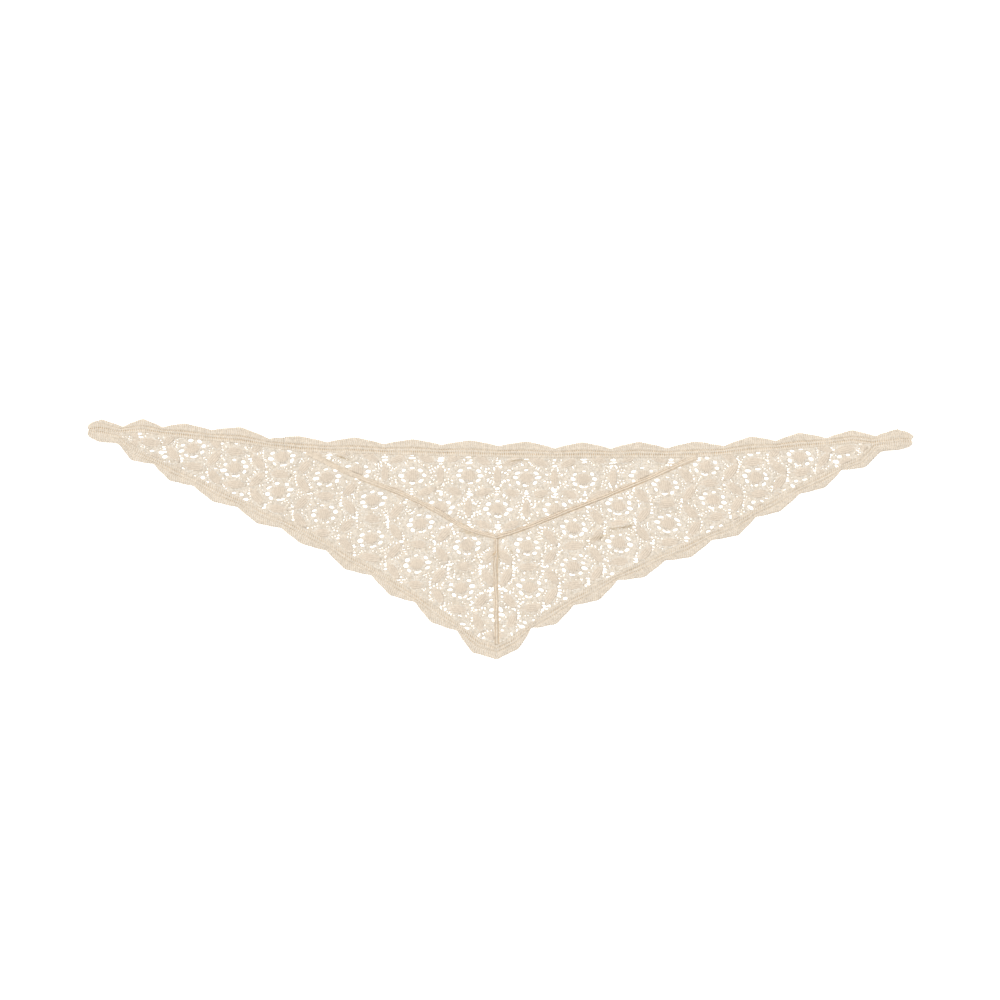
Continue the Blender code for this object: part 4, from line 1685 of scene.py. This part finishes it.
@dataclass(frozen=True)
class CottonYarn:
    """Matt combed-cotton yarn, undyed ecru.

    Its fibres scatter light softly, so that it shows no gloss and a little pale sheen at grazing
    angles.  Painted into its colour is a warmer, darker shade in crevices between stitches, at
    the rims of openings and on the undersides of threads.
    """

    name: str
    # The painted shadow colour, for crevices between stitches, rims of openings and undersides.
    shade: str  # the yarn in full light
    shadow: str  # between stitches
    twist_share: float  # how strongly the twist shows
    uneven: float = 0.50  # how much the stitches differ in tone
    mottle: float = 0.10  # how much patches of the cloth do
    flecks: float = 0.30  # and how much single fibres do
    # Painted shade in the twist's grooves: how much darker the yarn is painted between its plies.
    ply_groove_shade: float = 0.10  # how much darker the yarn is between its plies
    pinholes: float = 0.0  # how pale the gaps inside the stitches are, up to 1
    pinhole_pitch: float = 2.7  # their spacing, mm
    depth: float = 0.10  # height of the twist, mm

    def material(self) -> bpy.types.Material:
        """Builds the node material.

        Returns:
            The material.
        """
        made = bpy.data.materials.new(self.name)
        made.use_nodes = True
        tree = made.node_tree
        tree.nodes.clear()
        place = add_node(tree, "ShaderNodeTexCoord")
        weave = add_node(tree, "ShaderNodeUVMap", uv_map="Weave")
        painted_shading = add_node(tree, "ShaderNodeAttribute", attribute_name="painted_shading")
        # Slubs and hand-washed unevenness, about 30 mm across.
        cloud = add_node(
            tree, "ShaderNodeTexNoise",
            {"Vector": place.outputs["Object"], "Scale": 1 / (30 * MM), "Detail": 2.0},
        )
        # Stitches that lie higher or lower than their neighbours, about 3 mm across.
        stitches = add_node(
            tree, "ShaderNodeTexNoise",
            {"Vector": place.outputs["Object"], "Scale": 1 / (3 * MM), "Detail": 1.5},
        )
        # Single fibres and neps, about 0.9 mm: coarser than real ones, so that they show.
        fibre = add_node(
            tree, "ShaderNodeTexNoise",
            {"Vector": place.outputs["Object"], "Scale": 1 / (0.9 * MM), "Detail": 1.0},
        )
        # The twist of the yarn, in the thread's own along-and-round coordinates (mm).
        twist = add_node(
            tree, "ShaderNodeTexWave",
            {"Vector": weave.outputs["UV"], "Scale": 2 * math.pi / (10 * TWIST),
             "Distortion": 0.6, "Detail": 1.0, "Detail Scale": 0.5},
            wave_type="BANDS", bands_direction="DIAGONAL", wave_profile="SIN",
        )
        # Painted shade: the shading attribute mixes the yarn's full-light colour towards its painted
        # shadow colour.
        painted_light_share = add_node(
            tree, "ShaderNodeMapRange",
            {"Value": painted_shading.outputs["Fac"], "From Min": 0.05, "From Max": 0.75},
        )
        tone = add_node(
            tree, "ShaderNodeMix",
            {0: painted_light_share.outputs["Result"], 6: linear(self.shadow), 7: linear(self.shade)},
            data_type="RGBA",
        )
        mottle = add_node(
            tree, "ShaderNodeMath",
            {0: cloud.outputs["Fac"], 1: self.mottle, 2: 1 - self.mottle / 2},
            operation="MULTIPLY_ADD",
        )
        uneven = add_node(
            tree, "ShaderNodeMath",
            {0: stitches.outputs["Fac"], 1: self.uneven, 2: mottle.outputs["Value"]},
            operation="MULTIPLY_ADD",
        )
        flecks = add_node(
            tree, "ShaderNodeMath",
            {0: fibre.outputs["Fac"], 1: self.flecks, 2: uneven.outputs["Value"]},
            operation="MULTIPLY_ADD",
        )
        # Painted shade: where the twist's bump is low, between the plies, the colour is painted
        # darker.
        ply_groove_shade = add_node(
            tree, "ShaderNodeMath",
            {0: twist.outputs["Fac"], 1: self.ply_groove_shade * self.twist_share,
             2: flecks.outputs["Value"]},
            operation="MULTIPLY_ADD",
        )
        # Noise and twist average a half, so that this brings the mean back to 1.
        excess = (self.flecks + self.uneven + self.ply_groove_shade * self.twist_share) / 2
        level = add_node(
            tree, "ShaderNodeMath", {0: ply_groove_shade.outputs["Value"], 1: excess}, operation="SUBTRACT",
        )
        colour = add_node(
            tree, "ShaderNodeVectorMath",
            {0: tone.outputs[2], "Scale": level.outputs["Value"]}, operation="SCALE",
        )
        # Pale specks about 1 mm across, in patches: gaps inside the stitches, too small to cut
        # out, where the white table shows through.
        gaps = add_node(
            tree, "ShaderNodeTexVoronoi",
            {"Vector": place.outputs["Object"],
             "Scale": 1 / (self.pinhole_pitch * MM), "Randomness": 0.75},
            voronoi_dimensions="2D", feature="F1",
        )
        specks = add_node(
            tree, "ShaderNodeMapRange",
            {"Value": gaps.outputs["Distance"], "From Min": 0.34, "From Max": 0.12},
        )
        loose = add_node(
            tree, "ShaderNodeTexNoise",
            {"Vector": place.outputs["Object"], "Scale": 1 / (8 * MM), "Detail": 1.0},
        )
        patches = add_node(
            tree, "ShaderNodeMapRange",
            {"Value": loose.outputs["Fac"], "From Min": 0.40, "From Max": 0.60,
             "To Max": self.pinholes},
        )
        through = add_node(
            tree, "ShaderNodeMath",
            {0: specks.outputs["Result"], 1: patches.outputs["Result"]}, operation="MULTIPLY",
        )
        speckled = add_node(
            tree, "ShaderNodeMix",
            {0: through.outputs["Value"], 6: colour.outputs["Vector"], 7: linear("#FCF9F4")},
            data_type="RGBA",
        )
        surface_height = add_node(
            tree, "ShaderNodeMath",
            {0: twist.outputs["Fac"], 1: self.twist_share, 2: fibre.outputs["Fac"]},
            operation="MULTIPLY_ADD",
        )
        raised = add_node(
            tree, "ShaderNodeBump",
            {"Height": surface_height.outputs["Value"], "Distance": self.depth * MM,
             "Strength": 1.0},
        )
        shader = add_node(
            tree, "ShaderNodeBsdfPrincipled",
            {"Base Color": speckled.outputs[2], "Normal": raised.outputs["Normal"],
             "Roughness": 0.88, "IOR": 1.47, "Specular IOR Level": 0.25,
             "Sheen Weight": 0.18, "Sheen Roughness": 0.55,
             "Sheen Tint": linear("#F6EFE3")},
        )
        add_node(tree, "ShaderNodeOutputMaterial", {"Surface": shader.outputs["BSDF"]})
        return made


# Each yarn: its colour in full light, then its painted shadow colour for crevices, rims and
# undersides.
NET = CottonYarn("combed_cotton_net_thread", "#E2D7C7", "#CDBA9D", 0.5, 0.65, pinholes=0.72)
RIB = CottonYarn("combed_cotton_satin_stitch", "#E0D1BE", "#CAB699", 0.8, 0.36)
BAND = CottonYarn("combed_cotton_border_stitch", "#E5D9C8", "#C8AF8D", 0.5, 0.5, pinholes=0.3)
SEAM = CottonYarn("combed_cotton_overcast_seam", "#E3D4C0", "#CCB495", 0.6)


# ---------------------------------------------------------------------------- studio


@dataclass(frozen=True)
class Studio:
    """A pale table, soft overhead light and the camera straight above."""

    view_width: float = 1.3301  # metres of the table that the frame takes in
    aim: tuple[float, float] = (-0.0007, 0.0522)  # the view's middle, metres
    lens: float = 85.0
    sensor: float = 36.0
    clip_end: float = 50.0
    cloth_height: float = 0.0015
    table_size: float = 60.0  # metres, so that its edge stays out of all but the lowest views
    table_glow: float = 0.62
    window_power: float = 1.6  # watts a square metre
    window_spread: float = 40.0  # degrees, as wide as it looks from the table
    window_tilt: float = 28.0  # degrees off the vertical, to the left and to the back
    room_power: float = 0.70  # light from the white room all round

    def table(self) -> bpy.types.Object:
        """The table top: matt white laminate that glows a little, like a light table.

        Returns:
            The table, which is not part of the scarf.
        """
        half = self.table_size / 2
        corners = [(-half, -half, 0), (half, -half, 0), (half, half, 0), (-half, half, 0)]
        mesh = bpy.data.meshes.new("table")
        mesh.from_pydata(corners, [], [(0, 1, 2, 3)])
        made = bpy.data.materials.new("white_laminate")
        made.use_nodes = True
        tree = made.node_tree
        tree.nodes.clear()
        shader = add_node(
            tree, "ShaderNodeBsdfPrincipled",
            {"Base Color": linear("#F4F4F4"), "Roughness": 0.8, "Specular IOR Level": 0.1,
             "Emission Color": linear("#FFFFFF"), "Emission Strength": self.table_glow},
        )
        add_node(tree, "ShaderNodeOutputMaterial", {"Surface": shader.outputs["BSDF"]})
        mesh.materials.append(made)
        table = bpy.data.objects.new("table", mesh)
        bpy.context.scene.collection.objects.link(table)
        return table

    def window(self) -> None:
        """Adds an even, soft light from above and to the upper left, as from a wall of windows."""
        lamp = bpy.data.lights.new("tall_windows", "SUN")
        lamp.energy = self.window_power
        lamp.angle = math.radians(self.window_spread)
        made = bpy.data.objects.new("tall_windows", lamp)
        made.rotation_euler = (math.radians(-self.window_tilt), math.radians(-self.window_tilt), 0)
        bpy.context.scene.collection.objects.link(made)

    def camera(self) -> None:
        """Adds the camera straight above, with the view's width at the cloth's height."""
        lens = bpy.data.cameras.new("overhead")
        lens.lens = self.lens
        lens.sensor_width = self.sensor
        lens.clip_end = self.clip_end
        made = bpy.data.objects.new("overhead", lens)
        rise = self.view_width * self.lens / self.sensor
        made.location = (*self.aim, rise + self.cloth_height)
        bpy.context.scene.collection.objects.link(made)
        bpy.context.scene.camera = made

    def build(self) -> None:
        """Sets up the table, the light, the surroundings and the camera."""
        self.table()
        self.window()
        world = bpy.data.worlds.new("white_room")
        world.use_nodes = True
        tree = world.node_tree
        tree.nodes.clear()
        glow = add_node(
            tree, "ShaderNodeBackground",
            {"Color": linear("#FFFFFF"), "Strength": self.room_power},
        )
        add_node(tree, "ShaderNodeOutputWorld", {"Surface": glow.outputs["Background"]})
        bpy.context.scene.world = world
        bpy.context.scene.view_settings.view_transform = "Standard"
        self.camera()


# ---------------------------------------------------------------------------- the scarf

# The two long panels have larger leaves than the one between them, and narrower flowers.
WING: dict[str, float] = {
    "leaf_half": 14.4, "leaf_wide": 6.2, "band_wide": 19.8, "band_high": 13.6,
    "rungs_closed": 0.35, "step": 1.14,
}
PANELS = (
    FlowerLace(
        node="panel_centre",
        lower=FlowerRow(0, ((-79.8, 42.2), (-4.0, 40.5), (73.8, 39.4))),
        upper=FlowerRow(-1, ((-190.9, 90.8), (-117.7, 84.8), (-41.9, 84.8), (34.6, 81.5),
                             (110.4, 80.1), (189.5, 84.1))),
        flat=(530.0, 112.0), tilt=0.0, seed=11, band_wide=21.0, band_high=14.2,
    ),
    FlowerLace(
        node="panel_left",
        lower=FlowerRow(0, ((-409.7, 120.7), (-353.1, 94.8), (-294.6, 63.5), (-234.8, 33.6),
                            (-172.2, 1.0), (-111.1, -32.9), (-52.5, -64.8), (1.0, -99.0))),
        upper=FlowerRow(2, ((-290.6, 109.4), (-230.8, 82.8), (-169.6, 52.2), (-106.4, 20.9),
                            (-44.6, -8.3))),
        flat=(575.0, 140.0), tilt=-9.5, seed=12, ring_high=11.1, **WING,
    ),
    FlowerLace(
        node="panel_right",
        lower=FlowerRow(0, ((397.7, 109.4), (339.8, 82.1), (282.6, 52.2), (222.8, 20.9),
                            (158.0, -5.0), (96.8, -36.2), (39.2, -64.2), (-13.0, -98.0))),
        upper=FlowerRow(2, ((273.3, 96.8), (219.5, 71.2), (157.6, 44.2), (97.2, 15.0),
                            (35.2, -9.6))),
        flat=(575.0, 140.0), tilt=9.5, seed=13, ring_high=10.9, **WING,
    ),
)
# The lower lengths have smaller scallops and higher posts, and shallower ladder rows.
LOWER: dict[str, float] = {
    "post": 0.85, "ladder_depth": 1.05, "scallop": 70.0, "fullness": 0.85, "crispness": 0.05,
}
BORDERS = (
    ScallopedBorder("border_top_left", flat=(262.0, 21.5), tips=(0.0, 1e4)),
    ScallopedBorder("border_top_centre", flat=(561.0, 21.5)),
    ScallopedBorder("border_top_right", flat=(275.0, 21.5), tips=(-1e3, 250.0)),
    ScallopedBorder("border_lower_left", flat=(625.0, 22.0), tips=(0.0, 1e4), lean=-0.35, **LOWER),
    ScallopedBorder("border_lower_right", flat=(625.0, 22.0), tips=(-1e3, 612.0), lean=0.6,
                    **LOWER),
)
SEAMS = (
    RolledSeam("seam_left", flat=(270.0, 10.0), flattens=(125.0, 50.0)),
    RolledSeam("seam_right", flat=(280.0, 10.0), rolls=((-0.2, 0.5), (0.6, 0.38)),
               flattens=(205.0, 330.0)),
    RolledSeam("seam_centre", flat=(136.0, 10.0), rolls=((-0.08, 0.55), (0.7, 0.3)),
               foot=0.95, weave=0.8),
)


def main() -> None:
    """Builds the studio and the scarf, piece by piece."""
    logging.basicConfig(level=logging.INFO, format="%(name)s: %(message)s")
    Studio().build()
    net, rib = NET.material(), RIB.material()
    for panel in PANELS:
        panel.build(net, rib)
    band, seam = BAND.material(), SEAM.material()
    for border in BORDERS:
        border.build(band)
    for rolled in SEAMS:
        rolled.build(seam)


if __name__ == "__main__":
    main()
